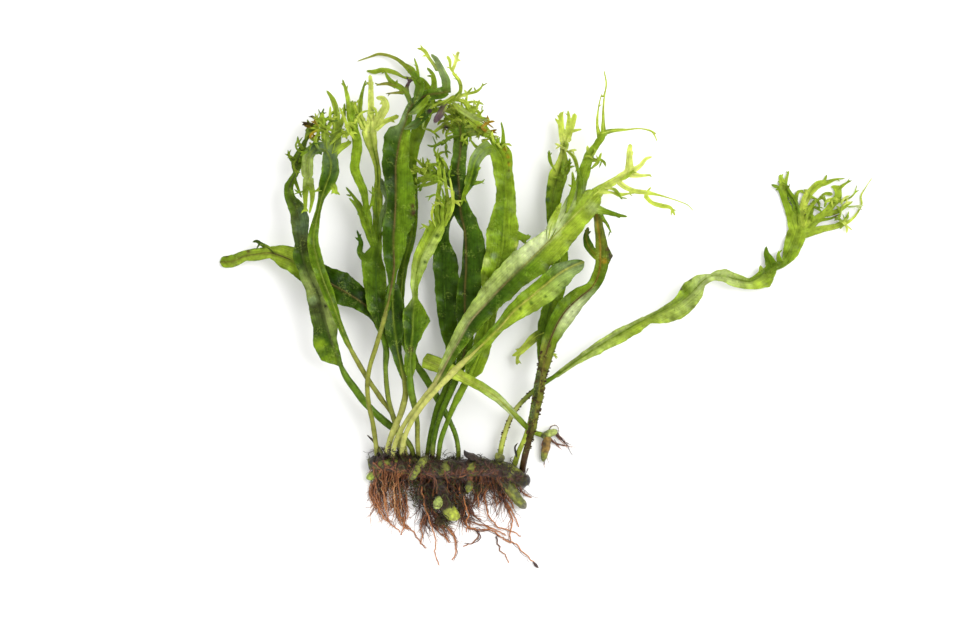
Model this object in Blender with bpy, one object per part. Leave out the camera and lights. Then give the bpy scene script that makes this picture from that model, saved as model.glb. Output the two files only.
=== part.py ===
"""A java fern with lace-like frond tips, lying flat on a surface.

X points to the right and Y to the frond tips as seen from above, and Z points up.
Paths are read off the photograph in its pixels. Everything else is a real size.
"""

import math

import bmesh
import bpy
import numpy as np

# Driving sizes.
MM = 0.001
MM_PER_PIXEL = 0.4
MIDDLE_X_PIXEL = 540.0
MIDDLE_Y_PIXEL = 308.5
RHIZOME_HEIGHT = 7.6 * MM
STEM_THICKNESS = 1.5 * MM
BLADE_THICKNESS = 0.8 * MM
LOBE_THICKNESS = 0.65 * MM
GAP_AT_RHIZOME = 0.3 * MM
GAP_BETWEEN_LAYERS = 0.7 * MM
STEEPEST_DRAPE = 0.42
STATION_SPACING = 8.2 * MM
LOBE_SPACING = 6.6 * MM
STOCK_SPACING = 4.0 * MM
SHARP_ANGLE = math.radians(40)

for thing in list(bpy.data.objects):
    bpy.data.objects.remove(thing)


def place(x_pixel, y_pixel):
    """A pixel of the photograph as X and Y in metres."""
    scale = MM_PER_PIXEL * MM
    return (x_pixel - MIDDLE_X_PIXEL) * scale, (MIDDLE_Y_PIXEL - y_pixel) * scale


def smoothed(rows, spacing):
    """Rows of X, Y and other columns, passed through a curve and set out at even steps."""
    rows = np.array(rows, float)
    steps = np.hypot(*np.diff(rows[:, :2], axis=0).T)
    along = np.concatenate([[0], np.cumsum(steps)])
    count = max(2, int(round(along[-1] / spacing)) + 1)
    wanted = np.linspace(0, along[-1], count)
    slopes = np.gradient(rows[:, :2], along, axis=0)
    out = np.zeros((count, rows.shape[1]))
    for column in range(2, rows.shape[1]):
        out[:, column] = np.interp(wanted, along, rows[:, column])
    which = np.clip(np.searchsorted(along, wanted, side="right") - 1, 0, len(rows) - 2)
    length = along[which + 1] - along[which]
    f = ((wanted - along[which]) / length)[:, None]
    start = rows[which, :2]
    end = rows[which + 1, :2]
    pull_start = slopes[which] * length[:, None]
    pull_end = slopes[which + 1] * length[:, None]
    out[:, :2] = (
        start * (2 * f**3 - 3 * f**2 + 1)
        + pull_start * (f**3 - 2 * f**2 + f)
        + end * (3 * f**2 - 2 * f**3)
        + pull_end * (f**3 - f**2)
    )
    return out


class Strip:
    """A flat strip: its middle line, its widths to the left and right, and its thickness."""

    def __init__(self, rows, spacing):
        laid = smoothed(rows, spacing)
        self.middle = np.column_stack([laid[:, :2], laid[:, 4]])
        self.left = laid[:, 2]
        self.right = laid[:, 3]
        self.lift = laid[:, 4]
        self.thickness = laid[:, 5]
        self.is_lobe = False


def strip_of_pixels(rows, thickness, spacing):
    """A strip from rows of pixel X, pixel Y, left, right (pixels) and lowest height (mm)."""
    scale = MM_PER_PIXEL * MM
    real = []
    for row, thick in zip(rows, thickness):
        x, y = place(row[0], row[1])
        real.append((x, y, row[2] * scale, row[3] * scale, row[4] * MM, thick))
    return Strip(real, spacing)


# How thick a blade is at its margin, as a share of its thickness.
MARGIN_SHARE = 0.56


def strip_mesh(strip, grow=0.0):
    """The closed mesh of a strip: six points round each station, or four on a lobe."""
    middle = strip.middle
    tangent = np.gradient(middle, axis=0)
    tangent /= np.linalg.norm(tangent, axis=1)[:, None]
    side = np.column_stack([-tangent[:, 1], tangent[:, 0], np.zeros(len(tangent))])
    side /= np.linalg.norm(side, axis=1)[:, None]
    up = np.cross(tangent, side)
    half = (strip.thickness / 2 + grow)[:, None]
    edge = (strip.thickness * MARGIN_SHARE / 2 + grow)[:, None]
    left = (strip.left + grow)[:, None]
    right = (strip.right + grow)[:, None]
    top = middle + up * half
    bottom = middle - up * half
    if strip.is_lobe:
        corners = [middle + side * left, top, middle - side * right, bottom]
    else:
        corners = [
            middle + side * left + up * edge,
            top,
            middle - side * right + up * edge,
            middle - side * right - up * edge,
            bottom,
            middle + side * left - up * edge,
        ]
    rings = np.stack(corners, axis=1)
    if grow:
        rings[0] -= tangent[0] * grow
        rings[-1] += tangent[-1] * grow
    return tube_mesh(rings)


def tube_mesh(rings):
    """A closed mesh over rings of points, with a flat cap at each end."""
    count, points = rings.shape[:2]
    faces = []
    for ring in range(count - 1):
        for k in range(points):
            nxt = (k + 1) % points
            a = ring * points
            b = a + points
            faces.append((a + k, a + nxt, b + nxt, b + k))
    faces.append(tuple(range(points)))
    faces.append(tuple(range((count - 1) * points, count * points)))
    mesh = bpy.data.meshes.new("strip")
    mesh.from_pydata([tuple(p) for p in rings.reshape(-1, 3)], [], faces)
    shape = bmesh.new()
    shape.from_mesh(mesh)
    bmesh.ops.triangulate(shape, faces=shape.faces[:])
    bmesh.ops.recalc_face_normals(shape, faces=shape.faces[:])
    shape.to_mesh(mesh)
    shape.free()
    return mesh


def shown(name, mesh):
    """The mesh as an object in the scene."""
    made = bpy.data.objects.new(name, mesh)
    bpy.context.scene.collection.objects.link(made)
    return made


def finished(made, look):
    """Gives the object its own material, and smooth shading with sharp edges."""
    colour, roughness = look
    material = bpy.data.materials.new(made.name)
    material.use_nodes = True
    shader = material.node_tree.nodes["Principled BSDF"]
    shader.inputs["Base Color"].default_value = (*colour, 1)
    shader.inputs["Roughness"].default_value = roughness
    shader.inputs["Metallic"].default_value = 0
    made.data.materials.clear()
    made.data.materials.append(material)
    made.data.shade_smooth()
    made.data.set_sharp_from_angle(angle=SHARP_ANGLE)
    return made


def combined(target, mesh, operation):
    """The target joined with the mesh, or cut by it."""
    other = shown("helper", mesh)
    step = target.modifiers.new("step", "BOOLEAN")
    step.operation = operation
    if operation == "UNION":
        # EXACT leaves open edges where these thin blades meet.
        step.solver = "MANIFOLD"
    step.object = other
    bpy.context.view_layer.update()
    graph = bpy.context.evaluated_depsgraph_get()
    result = bpy.data.meshes.new_from_object(target.evaluated_get(graph))
    target.modifiers.clear()
    target.data = result
    bpy.data.objects.remove(other)
    return target


# The pile: how high the surface already laid is, on a fine grid.
CELL = 0.5 * MM
SAMPLES_PER_CELL = 1.6
PILE_WIDTH = 300 * MM
PILE_DEPTH = 250 * MM
# A strip's height from its middle to its top, as a share of its thickness, with a little to spare.
TOP_SHARE = 0.55
# The first station of a frond or root stays where it leaves the rhizome.
FIXED_STATIONS = 1
# Two linked stations are never taken to be further apart than this.
LONGEST_LINK = 8 * MM
SETTLING_PASSES = 120
EASING_PASSES = 14
pile = np.zeros((int(PILE_WIDTH / CELL), int(PILE_DEPTH / CELL)))


def cells(x, y):
    """The grid cells of these places."""
    column = np.clip(((x + PILE_WIDTH / 2) / CELL).astype(int), 0, pile.shape[0] - 1)
    row = np.clip(((y + PILE_DEPTH / 2) / CELL).astype(int), 0, pile.shape[1] - 1)
    return column, row


def spread(strip, k):
    """Places all over the stretch between station k and the next, and how far along each is."""
    a = strip.middle[k]
    b = strip.middle[k + 1]
    run = b[:2] - a[:2]
    length = float(np.hypot(*run)) or 1e-6
    across = np.array([-run[1], run[0]]) / length
    steps = int(length / CELL * SAMPLES_PER_CELL) + 2
    f = np.linspace(0, 1, steps)
    left = strip.left[k] * (1 - f) + strip.left[k + 1] * f
    right = strip.right[k] * (1 - f) + strip.right[k + 1] * f
    side_steps = int((left + right).max() / CELL * SAMPLES_PER_CELL) + 2
    g = np.linspace(0, 1, side_steps)
    offset = -right[:, None] + (left + right)[:, None] * g[None, :]
    x = a[0] + run[0] * f[:, None] + across[0] * offset
    y = a[1] + run[1] * f[:, None] + across[1] * offset
    return x, y, np.broadcast_to(f[:, None], x.shape)


def nearest_on(strips, x, y):
    """Of these strips, the one that passes nearest to a place, the station there and its height."""
    best = (math.inf, None, 0, 0.0)
    for number, strip in enumerate(strips):
        a = strip.middle[:-1]
        run = strip.middle[1:] - a
        f = ((x - a[:, 0]) * run[:, 0] + (y - a[:, 1]) * run[:, 1]) / (run[:, :2] ** 2).sum(axis=1)
        f = np.clip(f, 0, 1)
        off = np.hypot(a[:, 0] + f * run[:, 0] - x, a[:, 1] + f * run[:, 1] - y)
        k = int(off.argmin())
        if off[k] < best[0]:
            station = k + int(f[k] > 0.5)
            best = (off[k], number, station, a[k, 2] + f[k] * run[k, 2])
    return best[1:]


def drape(strips):
    """Lays the strips of one frond on the pile, at or above their own lowest heights."""
    fixed = FIXED_STATIONS
    high = pile.copy()
    for shift in ((1, 0), (-1, 0), (0, 1), (0, -1)):
        high = np.maximum(high, np.roll(pile, shift, axis=(0, 1)))
    start = np.cumsum([0] + [len(s.middle) for s in strips])
    middle = np.concatenate([s.middle for s in strips])
    thickness = np.concatenate([s.thickness for s in strips])
    need = np.maximum(np.concatenate([s.lift for s in strips]), thickness / 2)
    links = []
    for number, strip in enumerate(strips):
        first = start[number]
        for k in range(len(strip.middle) - 1):
            x, y, _ = spread(strip, k)
            under = high[cells(x, y)].max()
            for station in (first + k, first + k + 1):
                if under > 0 and station >= fixed:
                    clear = under + GAP_BETWEEN_LAYERS + thickness[station] * TOP_SHARE
                    need[station] = max(need[station], clear)
            links.append((first + k, first + k + 1))
        if number:
            parent, station, _ = nearest_on(strips[:number], *strip.middle[0, :2])
            links.append((start[parent] + station, first))
    links = np.array(links)
    gaps = np.hypot(*(middle[links[:, 0], :2] - middle[links[:, 1], :2]).T)
    gaps = np.minimum(gaps, LONGEST_LINK)
    height = need.copy()
    for _ in range(SETTLING_PASSES):
        before = height.copy()
        for (a, b), gap in zip(links, gaps):
            if b >= fixed:
                height[b] = max(height[b], height[a] - STEEPEST_DRAPE * gap)
            if a >= fixed:
                height[a] = max(height[a], height[b] - STEEPEST_DRAPE * gap)
        if np.allclose(before, height, atol=1e-7):
            break
    for _ in range(EASING_PASSES):
        total = np.zeros(len(height))
        count = np.zeros(len(height))
        for a, b in links:
            total[a] += height[b]
            total[b] += height[a]
            count[a] += 1
            count[b] += 1
        eased = np.where(count > 1, 0.5 * height + 0.5 * total / np.maximum(count, 1), height)
        eased = np.maximum(need, eased)
        height[fixed:] = eased[fixed:]
    # A lobe starts at the height of the blade it grows from.
    for number, strip in enumerate(strips):
        strip.middle[:, 2] = height[start[number] : start[number + 1]]
        if number:
            strip.middle[0, 2] = nearest_on(strips[:number], *strip.middle[0, :2])[2]


def add_to_pile(strips, first_station=0):
    """Raises the pile to the top of these strips."""
    for number, strip in enumerate(strips):
        for k in range(len(strip.middle) - 1):
            if number == 0 and k < first_station:
                continue
            x, y, f = spread(strip, k)
            top = strip.middle[k, 2] * (1 - f) + strip.middle[k + 1, 2] * f
            top = top + max(strip.thickness[k], strip.thickness[k + 1]) * TOP_SHARE
            column, row = cells(x, y)
            np.maximum.at(pile, (column, row), top)


def body(name, strips, cutters):
    """One closed solid from the strips, cut clear of the pieces that hold it."""
    made = shown(name, strip_mesh(strips[0]))
    for strip in strips[1:]:
        combined(made, strip_mesh(strip), "UNION")
    for cutter in cutters:
        combined(made, cutter(), "DIFFERENCE")
    return made


# Looks: red, green and blue in linear light, and the roughness.
RHIZOME_LOOK = ((0.09, 0.085, 0.02), 0.45)
BUD_LOOK = ((0.35, 0.45, 0.06), 0.4)
ROOT_LOOK = ((0.14, 0.05, 0.02), 0.6)
DARK_LEAF = ((0.045, 0.095, 0.015), 0.35)
GREEN_LEAF = ((0.11, 0.24, 0.02), 0.35)
YELLOW_LEAF = ((0.32, 0.40, 0.04), 0.35)

# The rhizome: pixel X, pixel Y of its middle line and its half width in pixels.
RHIZOME_PATH = [
    (370, 465, 5.5),
    (380, 463, 8.5),
    (394, 464, 9),
    (408, 466, 9),
    (422, 468, 9.5),
    (436, 470, 10),
    (450, 470, 9.5),
    (464, 469, 9),
    (478, 468, 9),
    (492, 469, 9),
    (506, 472, 9),
    (517, 477, 8),
    (526, 482, 6.5),
]
# Its height where it is narrowest, as a share of the height where it is widest.
RHIZOME_LEAST_HEIGHT = 0.72
# Its outline across: shares of the half width and of the height.
RHIZOME_OUTLINE = [
    (-0.72, 0.0), (-1.0, 0.34), (-0.86, 0.72), (-0.42, 0.97),
    (0.42, 1.0), (0.86, 0.72), (1.0, 0.34), (0.72, 0.0),
]


def rhizome_mesh(grow=0.0):
    """A thick root-stock, flat underneath where it rests."""
    scale = MM_PER_PIXEL * MM
    path = np.array([place(x, y) for x, y, _ in RHIZOME_PATH])
    half = np.array([row[2] for row in RHIZOME_PATH]) * scale + grow
    share = RHIZOME_LEAST_HEIGHT + (1 - RHIZOME_LEAST_HEIGHT) * half / half.max()
    height = RHIZOME_HEIGHT * share
    tangent = np.gradient(path, axis=0)
    tangent /= np.linalg.norm(tangent, axis=1)[:, None]
    side = np.column_stack([-tangent[:, 1], tangent[:, 0]])
    rings = []
    for k, point in enumerate(path):
        ring = []
        for across, up in RHIZOME_OUTLINE:
            xy = point + side[k] * across * half[k]
            if k == 0:
                xy = xy - tangent[0] * grow
            if k == len(path) - 1:
                xy = xy + tangent[-1] * grow
            z = -grow if up == 0 else up * height[k] + grow
            ring.append((xy[0], xy[1], z))
        rings.append(ring)
    return tube_mesh(np.array(rings))


finished(shown("rhizome", rhizome_mesh()), RHIZOME_LOOK)


def rhizome_cutter():
    """What is cut out of a piece to keep it clear of the rhizome."""
    return rhizome_mesh(GAP_AT_RHIZOME)


# The short branches of the rhizome: pixel X, pixel Y, half width (pixels), middle height (mm),
# thickness (mm).
RHIZOME_BRANCHES = {
    "rhizome_branch_right": [
        (500, 474, 6.5, 3.4, 5.2),
        (508, 486, 6.5, 3.2, 5.2),
        (515, 496, 5.5, 3.0, 4.6),
        (521, 503, 5.0, 2.8, 4.2),
        (526, 509, 3.6, 2.6, 3.2),
    ],
    "rhizome_branch_bud": [
        (436, 476, 6, 3.4, 5.0),
        (442, 492, 7, 3.2, 5.4),
        (447, 508, 7, 3.0, 5.4),
        (453, 515, 6.5, 3.0, 4.6),
        (459, 518, 3.2, 3.0, 3.0),
    ],
    "rhizome_branch_left": [
        (382, 470, 5, 3.0, 4.2),
        (374, 475, 5, 2.8, 4.0),
        (366, 479, 3.2, 2.6, 3.0),
    ],
}

branch_strips = {}
for branch_name, branch_rows in RHIZOME_BRANCHES.items():
    thick = [row[4] * MM for row in branch_rows]
    rows = [(x, y, half, half, middle) for x, y, half, middle, _ in branch_rows]
    branch = strip_of_pixels(rows, thick, STOCK_SPACING)
    branch_strips[branch_name] = branch
    finished(body(branch_name, [branch], [rhizome_cutter]), BUD_LOOK)


def branch_cutters():
    """Makers of the cutters that keep the roots clear of the branches."""
    makers = [rhizome_cutter]
    for each in branch_strips.values():
        makers.append(lambda strip=each: strip_mesh(strip, GAP_AT_RHIZOME))
    return makers


# The root bundles. Each strand is pixel X, pixel Y, half width (pixels) and thickness (mm).
ROOTS = {
    "roots_left": [
        [(384, 472, 8, 4.0), (382, 488, 7, 3.4), (384, 502, 4.5, 2.0), (386, 512, 2, 1.0),
         (387, 520, 1, 0.6)],
        [(376, 478, 3, 2.0), (372, 492, 1.6, 1.0), (378, 508, 1.4, 0.8), (386, 521, 1.1, 0.6),
         (400, 533, 0.8, 0.5)],
    ],
    "roots_left_long": [
        [(400, 472, 7, 4.0), (397, 490, 6.5, 3.2), (399, 506, 4, 2.0), (404, 522, 2.2, 1.0),
         (414, 534, 1.2, 0.6),
         (421, 544, 1.0, 0.6), (426, 549, 0.8, 0.5)],
        [(402, 498, 3, 1.6), (405, 512, 1.8, 0.9), (404, 524, 1.2, 0.6), (401, 536, 0.8, 0.5)],
    ],
    "roots_middle": [
        [(420, 474, 9, 4.6), (421, 492, 9, 4.2), (425, 508, 8, 3.4), (429, 520, 5.5, 2.0),
         (433, 532, 3, 1.2),
         (436, 546, 1.6, 0.8), (435, 556, 1.4, 0.7), (439, 566, 0.8, 0.5)],
        [(424, 514, 3, 1.4), (421, 526, 1.5, 0.8), (422, 537, 1.2, 0.6), (420, 545, 0.9, 0.5)],
        [(430, 522, 3, 1.2), (438, 532, 1.5, 0.7), (444, 538, 1.1, 0.6), (450, 543, 0.8, 0.5)],
        [(430, 510, 4, 1.8), (439, 521, 2.2, 1.1), (448, 530, 1.6, 0.8), (455, 540, 1.4, 0.7),
         (456, 548, 1.3, 0.6),
         (455, 555, 1.2, 0.6), (452, 561, 0.8, 0.5)],
    ],
    "roots_centre": [
        [(461, 474, 5, 3.4), (464, 490, 4.5, 3.0), (466, 502, 3.6, 2.4), (468, 512, 2.6, 1.6),
         (467, 522, 1.6, 0.9),
         (466, 533, 0.9, 0.5)],
        [(467, 508, 2.4, 1.4), (473, 514, 1.2, 0.7), (481, 521, 0.8, 0.5)],
        [(466, 506, 3, 1.6), (463, 518, 2.2, 1.2), (468, 527, 1.8, 1.0), (480, 530, 1.8, 0.9),
         (492, 532, 1.6, 0.8),
         (503, 540, 1.4, 0.7), (517, 546, 1.2, 0.6), (528, 558, 1.1, 0.6), (538, 568, 1.2, 0.6)],
        [(474, 529, 1.6, 0.8), (479, 537, 1.1, 0.6), (472, 543, 0.9, 0.5), (463, 547, 0.8, 0.5)],
    ],
    "roots_right": [
        [(480, 472, 5.4, 3.4), (480, 486, 5, 2.8), (478, 497, 3, 1.6), (477, 508, 1.2, 0.6)],
        [(482, 488, 3, 1.6), (485, 502, 1.4, 0.8), (489, 516, 1.2, 0.6), (497, 527, 1.1, 0.6),
         (510, 531, 1.0, 0.6),
         (521, 537, 0.8, 0.5)],
    ],
    "roots_right_fork": [
        [(494, 472, 5, 3.4), (497, 488, 4.5, 2.8), (504, 499, 3, 1.8), (510, 509, 2.0, 1.0),
         (514, 516, 1.2, 0.6),
         (519, 528, 0.8, 0.5)],
        [(502, 494, 2.4, 1.4), (508, 508, 1.2, 0.7), (511, 520, 1.1, 0.6), (510, 532, 1.0, 0.6),
         (510, 544, 0.8, 0.5)],
        [(495, 484, 3, 1.8), (496, 496, 2, 1.0), (497, 507, 1.0, 0.6)],
    ],
    "roots_end": [
        [(519, 480, 2.5, 1.6), (522, 491, 1.3, 0.7), (527, 497, 1.0, 0.6), (532, 498, 0.8, 0.5)],
    ],
}

# A root leaves the rhizome this high (mm), and lies on the surface from this pixel row on.
ROOT_START_HEIGHT = 2.6
ROOT_LANDING_ROW = 490

for root_name, strands in ROOTS.items():
    strips = []
    for number, strand in enumerate(strands):
        thick = [row[3] * MM for row in strand]
        rows = []
        for x, y, half, deep in strand:
            lift = deep / 2
            if y < ROOT_LANDING_ROW:
                lift = max(lift, ROOT_START_HEIGHT)
            rows.append((x, y, half, half, lift))
        strips.append(strip_of_pixels(rows, thick, LOBE_SPACING))
        strips[-1].is_lobe = number > 0
    drape(strips)
    add_to_pile(strips)
    finished(body(root_name, strips, branch_cutters()), ROOT_LOOK)


# The fronds, from the bottom of the pile to the top. A spine row is pixel X, pixel Y, half
# width to the left and to the right (pixels) and lowest height (mm). The number before it
# says how many rows are stem. A lobe row is pixel X, pixel Y, half width (pixels) and
# lowest height (mm).
FRONDS = {
    "frond_lace_top": (
        8,
        [
            (458, 466, 2.3, 2.3, 4.5), (458, 448, 2.3, 2.3, 5), (455, 434, 2.3, 2.3, 5),
            (449, 420, 2.5, 2.5, 5), (441, 405, 3.5, 3.5, 4.5), (433, 391, 4, 4, 4),
            (424, 376, 5, 5, 4), (416, 364, 4, 4, 4), (409, 350, 5, 5, 4), (405, 330, 6, 6, 4),
            (404, 300, 6, 6, 4), (407, 265, 5, 5, 4), (411, 235, 5, 5, 4), (413, 205, 5, 5, 4),
            (412, 180, 5, 5, 4), (411, 160, 6, 6, 4), (413, 145, 6, 7, 4), (418, 130, 7, 7, 4),
            (424, 115, 7, 7, 4), (430, 103, 5, 5, 4), (428, 92, 8, 5, 4), (421, 82, 8, 5, 4),
            (414, 77, 3, 3, 3.6),
        ],
        [
            [(416, 79, 3, 3.8), (411, 70, 4, 3.2), (404, 64, 2, 2.6), (396, 58, 1.8, 2),
             (387, 54.5, 1.7, 1.4),
             (378, 53.5, 1.6, 0.8), (370, 56, 1.2, 0.3), (357, 60.5, 0.9, 0)],
            [(416, 79, 2, 3.8), (403, 76.5, 1.8, 3), (397, 73, 2, 2.4), (390, 70.5, 2.4, 1.8),
             (382, 69, 2.2, 1.2),
             (374, 71, 2.2, 0.8), (366, 70, 0.9, 0.3)],
            [(418, 80, 2, 3.8), (417, 67, 1.4, 3), (414, 57, 0.9, 2)],
        ],
    ),
    "frond_left_tip": (
        8,
        [
            (400, 462, 2, 2, 4.5), (398, 440, 2, 2, 5), (394, 422, 2, 2, 5.5), (389, 405, 2, 2, 6),
            (386, 385, 2, 2, 6.5), (385, 365, 2, 2, 7), (385, 348, 2, 2, 7.5), (382, 334, 3, 3, 8),
            (376, 318, 5, 6, 8.5), (366, 306, 8, 10, 9), (352, 296, 12, 15, 9), (338, 288, 16, 18, 9.5),
            (324, 280, 17, 14, 9.5), (310, 271, 14, 12, 9.5), (297, 263, 12, 13, 9),
            (284, 257, 11, 12, 8.4),
            (270, 253, 5, 6, 7.2), (258, 254, 7, 6, 5.6), (245, 256, 5, 6, 3.6), (232, 261, 6, 6, 1.5),
            (219, 262, 6, 6, 0),
        ],
        [
            [(274, 253, 3, 7), (268, 248, 2.2, 6.5), (261, 244, 2, 5.8), (256, 241, 1.5, 5),
             (252, 242, 1, 4.2)],
        ],
    ),
    "frond_far_right": (
        7,
        [
            (498, 462, 2.6, 2.6, 4), (503, 440, 2.6, 2.6, 5), (508, 424, 2.5, 2.5, 5),
            (517, 408, 2.4, 2.4, 5),
            (528, 396, 2.4, 2.4, 5), (541, 385, 2.4, 2.4, 5), (558, 374, 2.6, 2.6, 6),
            (578, 360, 3.5, 3.5, 7),
            (598, 347, 5, 5, 8), (618, 335, 5, 7, 8.6), (635, 325, 4, 6, 9), (648, 318, 3, 6, 9),
            (662, 311, 3, 14, 9), (678, 303, 6, 15, 8.6), (692, 292, 12, 12, 8), (703, 281, 8, 5, 7),
            (711, 276, 2, 5, 6.2), (724, 276, 8, 6, 5), (737, 279, 5, 8, 4), (750, 281, 3, 8, 3),
            (763, 275, 5, 14, 2.4), (775, 267, 5, 4, 2), (785, 262, 3, 4, 1.6), (791, 252, 8, 8, 1.2),
            (797, 238, 10, 9, 0.9), (801, 224, 12, 9, 0.6),
        ],
        [
            [(796, 230, 6, 0.6), (789, 208, 4, 0.5), (785, 198, 3.2, 0), (780, 188, 2.5, 0),
             (772, 184, 1.2, 0)],
            [(785, 200, 3, 0), (784, 186, 3.6, 0), (781, 174, 2, 0)],
            [(799, 226, 5, 0.5), (796, 203, 3.4, 0), (791, 195, 3, 0), (785, 187, 2, 0)],
            [(802, 226, 5, 0.5), (804, 203, 3.4, 0), (808, 189, 2.2, 0)],
            [(805, 206, 3, 0), (813, 190, 3.8, 0), (820, 184, 3.8, 0), (828, 182, 2.6, 0),
             (836, 179, 1.5, 0),
             (846, 178, 0.9, 0)],
            [(805, 228, 5, 0.5), (812, 210, 3, 0), (815, 199, 1.2, 0)],
            [(805, 230, 6, 0.6), (818, 219, 5, 0), (828, 211, 4, 0), (834, 203, 4.4, 0), (839, 196, 4, 0),
             (834, 187, 1.8, 0)],
            [(836, 201, 3, 0), (848, 199, 1.2, 0), (855, 194, 0.9, 0), (858, 185, 0.8, 0)],
            [(803, 234, 6, 0.6), (822, 229, 4, 0), (833, 227, 3.4, 0), (843, 224, 3, 0), (853, 219, 1.6, 0),
             (860, 210, 1.3, 0), (863, 203, 1.4, 0), (861, 196, 1.2, 0)],
            [(826, 214, 3.6, 0), (838, 211, 3, 0), (846, 206, 2.4, 0), (854, 201, 1, 0)],
            [(773, 269, 6, 2), (770, 259, 4.4, 1.6), (767, 252, 2.8, 1.4), (767, 246, 1.2, 1.2)],
            [(782, 263, 3.4, 1.8), (779, 256, 2.2, 1.5), (780, 250, 1, 1.2)],
        ],
    ),
    "frond_right_crest": (
        7,
        [
            (512, 472, 2.6, 2.6, 4), (519, 452, 2.6, 2.6, 5), (525, 438, 2.5, 2.5, 5.5),
            (531, 420, 3, 3, 6),
            (535, 400, 3.4, 3, 6.5), (538, 380, 3, 3, 7), (541, 362, 3, 3, 7), (544, 345, 8, 5, 7),
            (548, 325, 10, 8, 7), (553, 305, 10, 8, 7), (558, 285, 8, 8, 7), (560, 262, 8, 8, 7),
            (558, 240, 8, 7, 7), (553, 220, 6, 7, 7), (552, 205, 6, 8, 7), (554, 190, 8, 9, 7),
            (558, 175, 9, 9, 7), (562, 162, 6, 7, 7), (563, 152, 3, 3, 7), (565, 140, 5, 6, 7),
        ],
        [
            [(564, 143, 4, 7), (561, 125, 3.2, 6.6), (561, 112, 2, 6)],
            [(566, 143, 4, 7), (569, 122, 2.6, 6.6), (568, 110, 1.2, 6)],
            [(566, 141, 4, 7), (572, 125, 3.2, 6.6), (575, 113, 2.4, 6)],
            [(571, 131, 2.4, 6.6), (582, 129, 1, 6.2)],
            [(546, 332, 6, 7), (537, 336, 5, 6.4), (528, 344, 4, 5.6), (520, 352, 3, 4.8),
             (512, 356, 1.2, 4)],
            [(521, 351, 2.6, 4.8), (518, 356, 2, 4.4), (517, 365, 1.6, 3.8)],
        ],
    ),
    "frond_bend": (
        6,
        [
            (426, 464, 2.4, 2.4, 4), (429, 442, 2.3, 2.3, 5), (433, 424, 2.3, 2.3, 6), (438, 406, 3, 3, 6),
            (445, 392, 4, 4, 6), (449, 378, 4.5, 4, 6), (451, 362, 5, 5, 6), (450, 345, 5, 6, 6),
            (447, 325, 8, 10, 6.5), (445, 300, 9, 14, 7), (444, 278, 10, 15, 7), (445, 258, 12, 15, 7.5),
            (446, 240, 9, 9, 8), (450, 222, 6, 6, 9.5), (455, 206, 6, 6, 12), (458, 194, 7, 6, 14.5),
            (455, 184, 7, 5, 16), (447, 178, 6, 5, 16), (437, 175, 5, 5, 15),
        ],
        [
            [(439, 175, 4, 15), (422, 172, 3, 13.5), (413, 165, 1.4, 12)],
            [(439, 176, 4, 15), (424, 179, 3.4, 13.5), (414, 183, 1.6, 12)],
            [(440, 174, 4, 15), (441, 164, 2.8, 14), (438, 155, 1.6, 13)],
            [(443, 178, 3, 15.5), (430, 184, 2.2, 14), (418, 187, 1.2, 13)],
        ],
    ),
    "frond_dark_centre": (
        6,
        [
            (431, 464, 2.3, 2.3, 5), (434, 440, 2.3, 2.3, 7), (439, 420, 2.5, 2.5, 8),
            (446, 402, 3, 3, 8.5),
            (453, 386, 3.4, 3.4, 9), (460, 368, 5, 5, 9), (465, 348, 7, 7, 9), (466, 330, 8, 8, 9),
            (465, 310, 9, 14, 9), (465, 288, 10, 16, 9), (466, 268, 8, 17, 9), (466, 250, 7, 20, 9),
            (463, 232, 5, 17, 9.5), (461, 214, 7, 12, 10), (460, 200, 8, 6, 10.5), (459, 185, 9, 7, 11),
            (458, 170, 8, 8, 11), (460, 155, 7, 7, 11), (461, 140, 8, 7, 11), (460, 126, 8, 8, 11),
        ],
        [
            [(459, 128, 5, 11), (455, 112, 3.2, 10.6), (447, 105, 1.6, 10)],
            [(461, 128, 5, 11), (469, 113, 2.8, 10.4), (476, 106, 1.4, 10)],
            [(463, 130, 5, 11), (476, 120, 3.4, 10.4), (489, 119, 1.4, 10)],
            [(463, 134, 5, 11), (478, 131, 5, 10.6), (493, 138, 2, 10)],
            [(457, 130, 5, 11), (446, 126, 2.6, 10.6), (432, 133, 1.4, 10)],
            [(458, 126, 5, 11), (450, 117, 2.6, 10.8), (443, 121, 1.4, 10)],
        ],
    ),
    "frond_broad": (
        6,
        [
            (437, 464, 2.4, 2.4, 5), (441, 440, 2.4, 2.4, 8), (448, 420, 2.6, 2.6, 9), (455, 404, 3, 3, 9),
            (463, 388, 4.5, 4.5, 9), (473, 368, 8, 10, 9), (481, 350, 9, 9, 9), (486, 332, 10, 7, 9),
            (489, 312, 9, 8, 9), (493, 290, 12, 12, 9), (498, 270, 17, 14, 9.5), (502, 250, 16, 16, 10),
            (504, 232, 18, 16, 10.5), (505, 212, 12, 11, 11.5), (506, 192, 10, 9, 12.5),
            (504, 172, 11, 9, 14),
            (500, 155, 10, 11, 16), (493, 147, 8, 8, 18), (484, 150, 7, 7, 18.5), (476, 160, 6, 6, 18),
            (472, 174, 6, 5, 17), (468, 188, 5, 5, 16),
        ],
        [
            [(514, 234, 5, 10.5), (525, 238, 3.4, 10), (531, 236, 1.2, 10)],
            [(499, 150, 3, 17), (497, 138, 1.2, 16.4)],
            [(503, 146, 3, 16.4), (503, 133, 1.6, 15.6), (501, 122, 1, 15)],
            [(474, 172, 3, 17), (481, 168, 1.1, 16.4)],
            [(471, 184, 3, 16.4), (484, 182, 1, 15.6)],
        ],
    ),
    "frond_left_edge": (
        10,
        [
            (414, 464, 2.4, 2.4, 4), (411, 447, 2.6, 2.6, 5), (403, 437, 3, 3, 5), (393, 428, 3.5, 3.5, 5),
            (382, 419, 3.5, 3.5, 5.5), (372, 410, 3.6, 3.6, 6), (363, 400, 4, 4, 7), (355, 389, 4, 4, 8),
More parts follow.
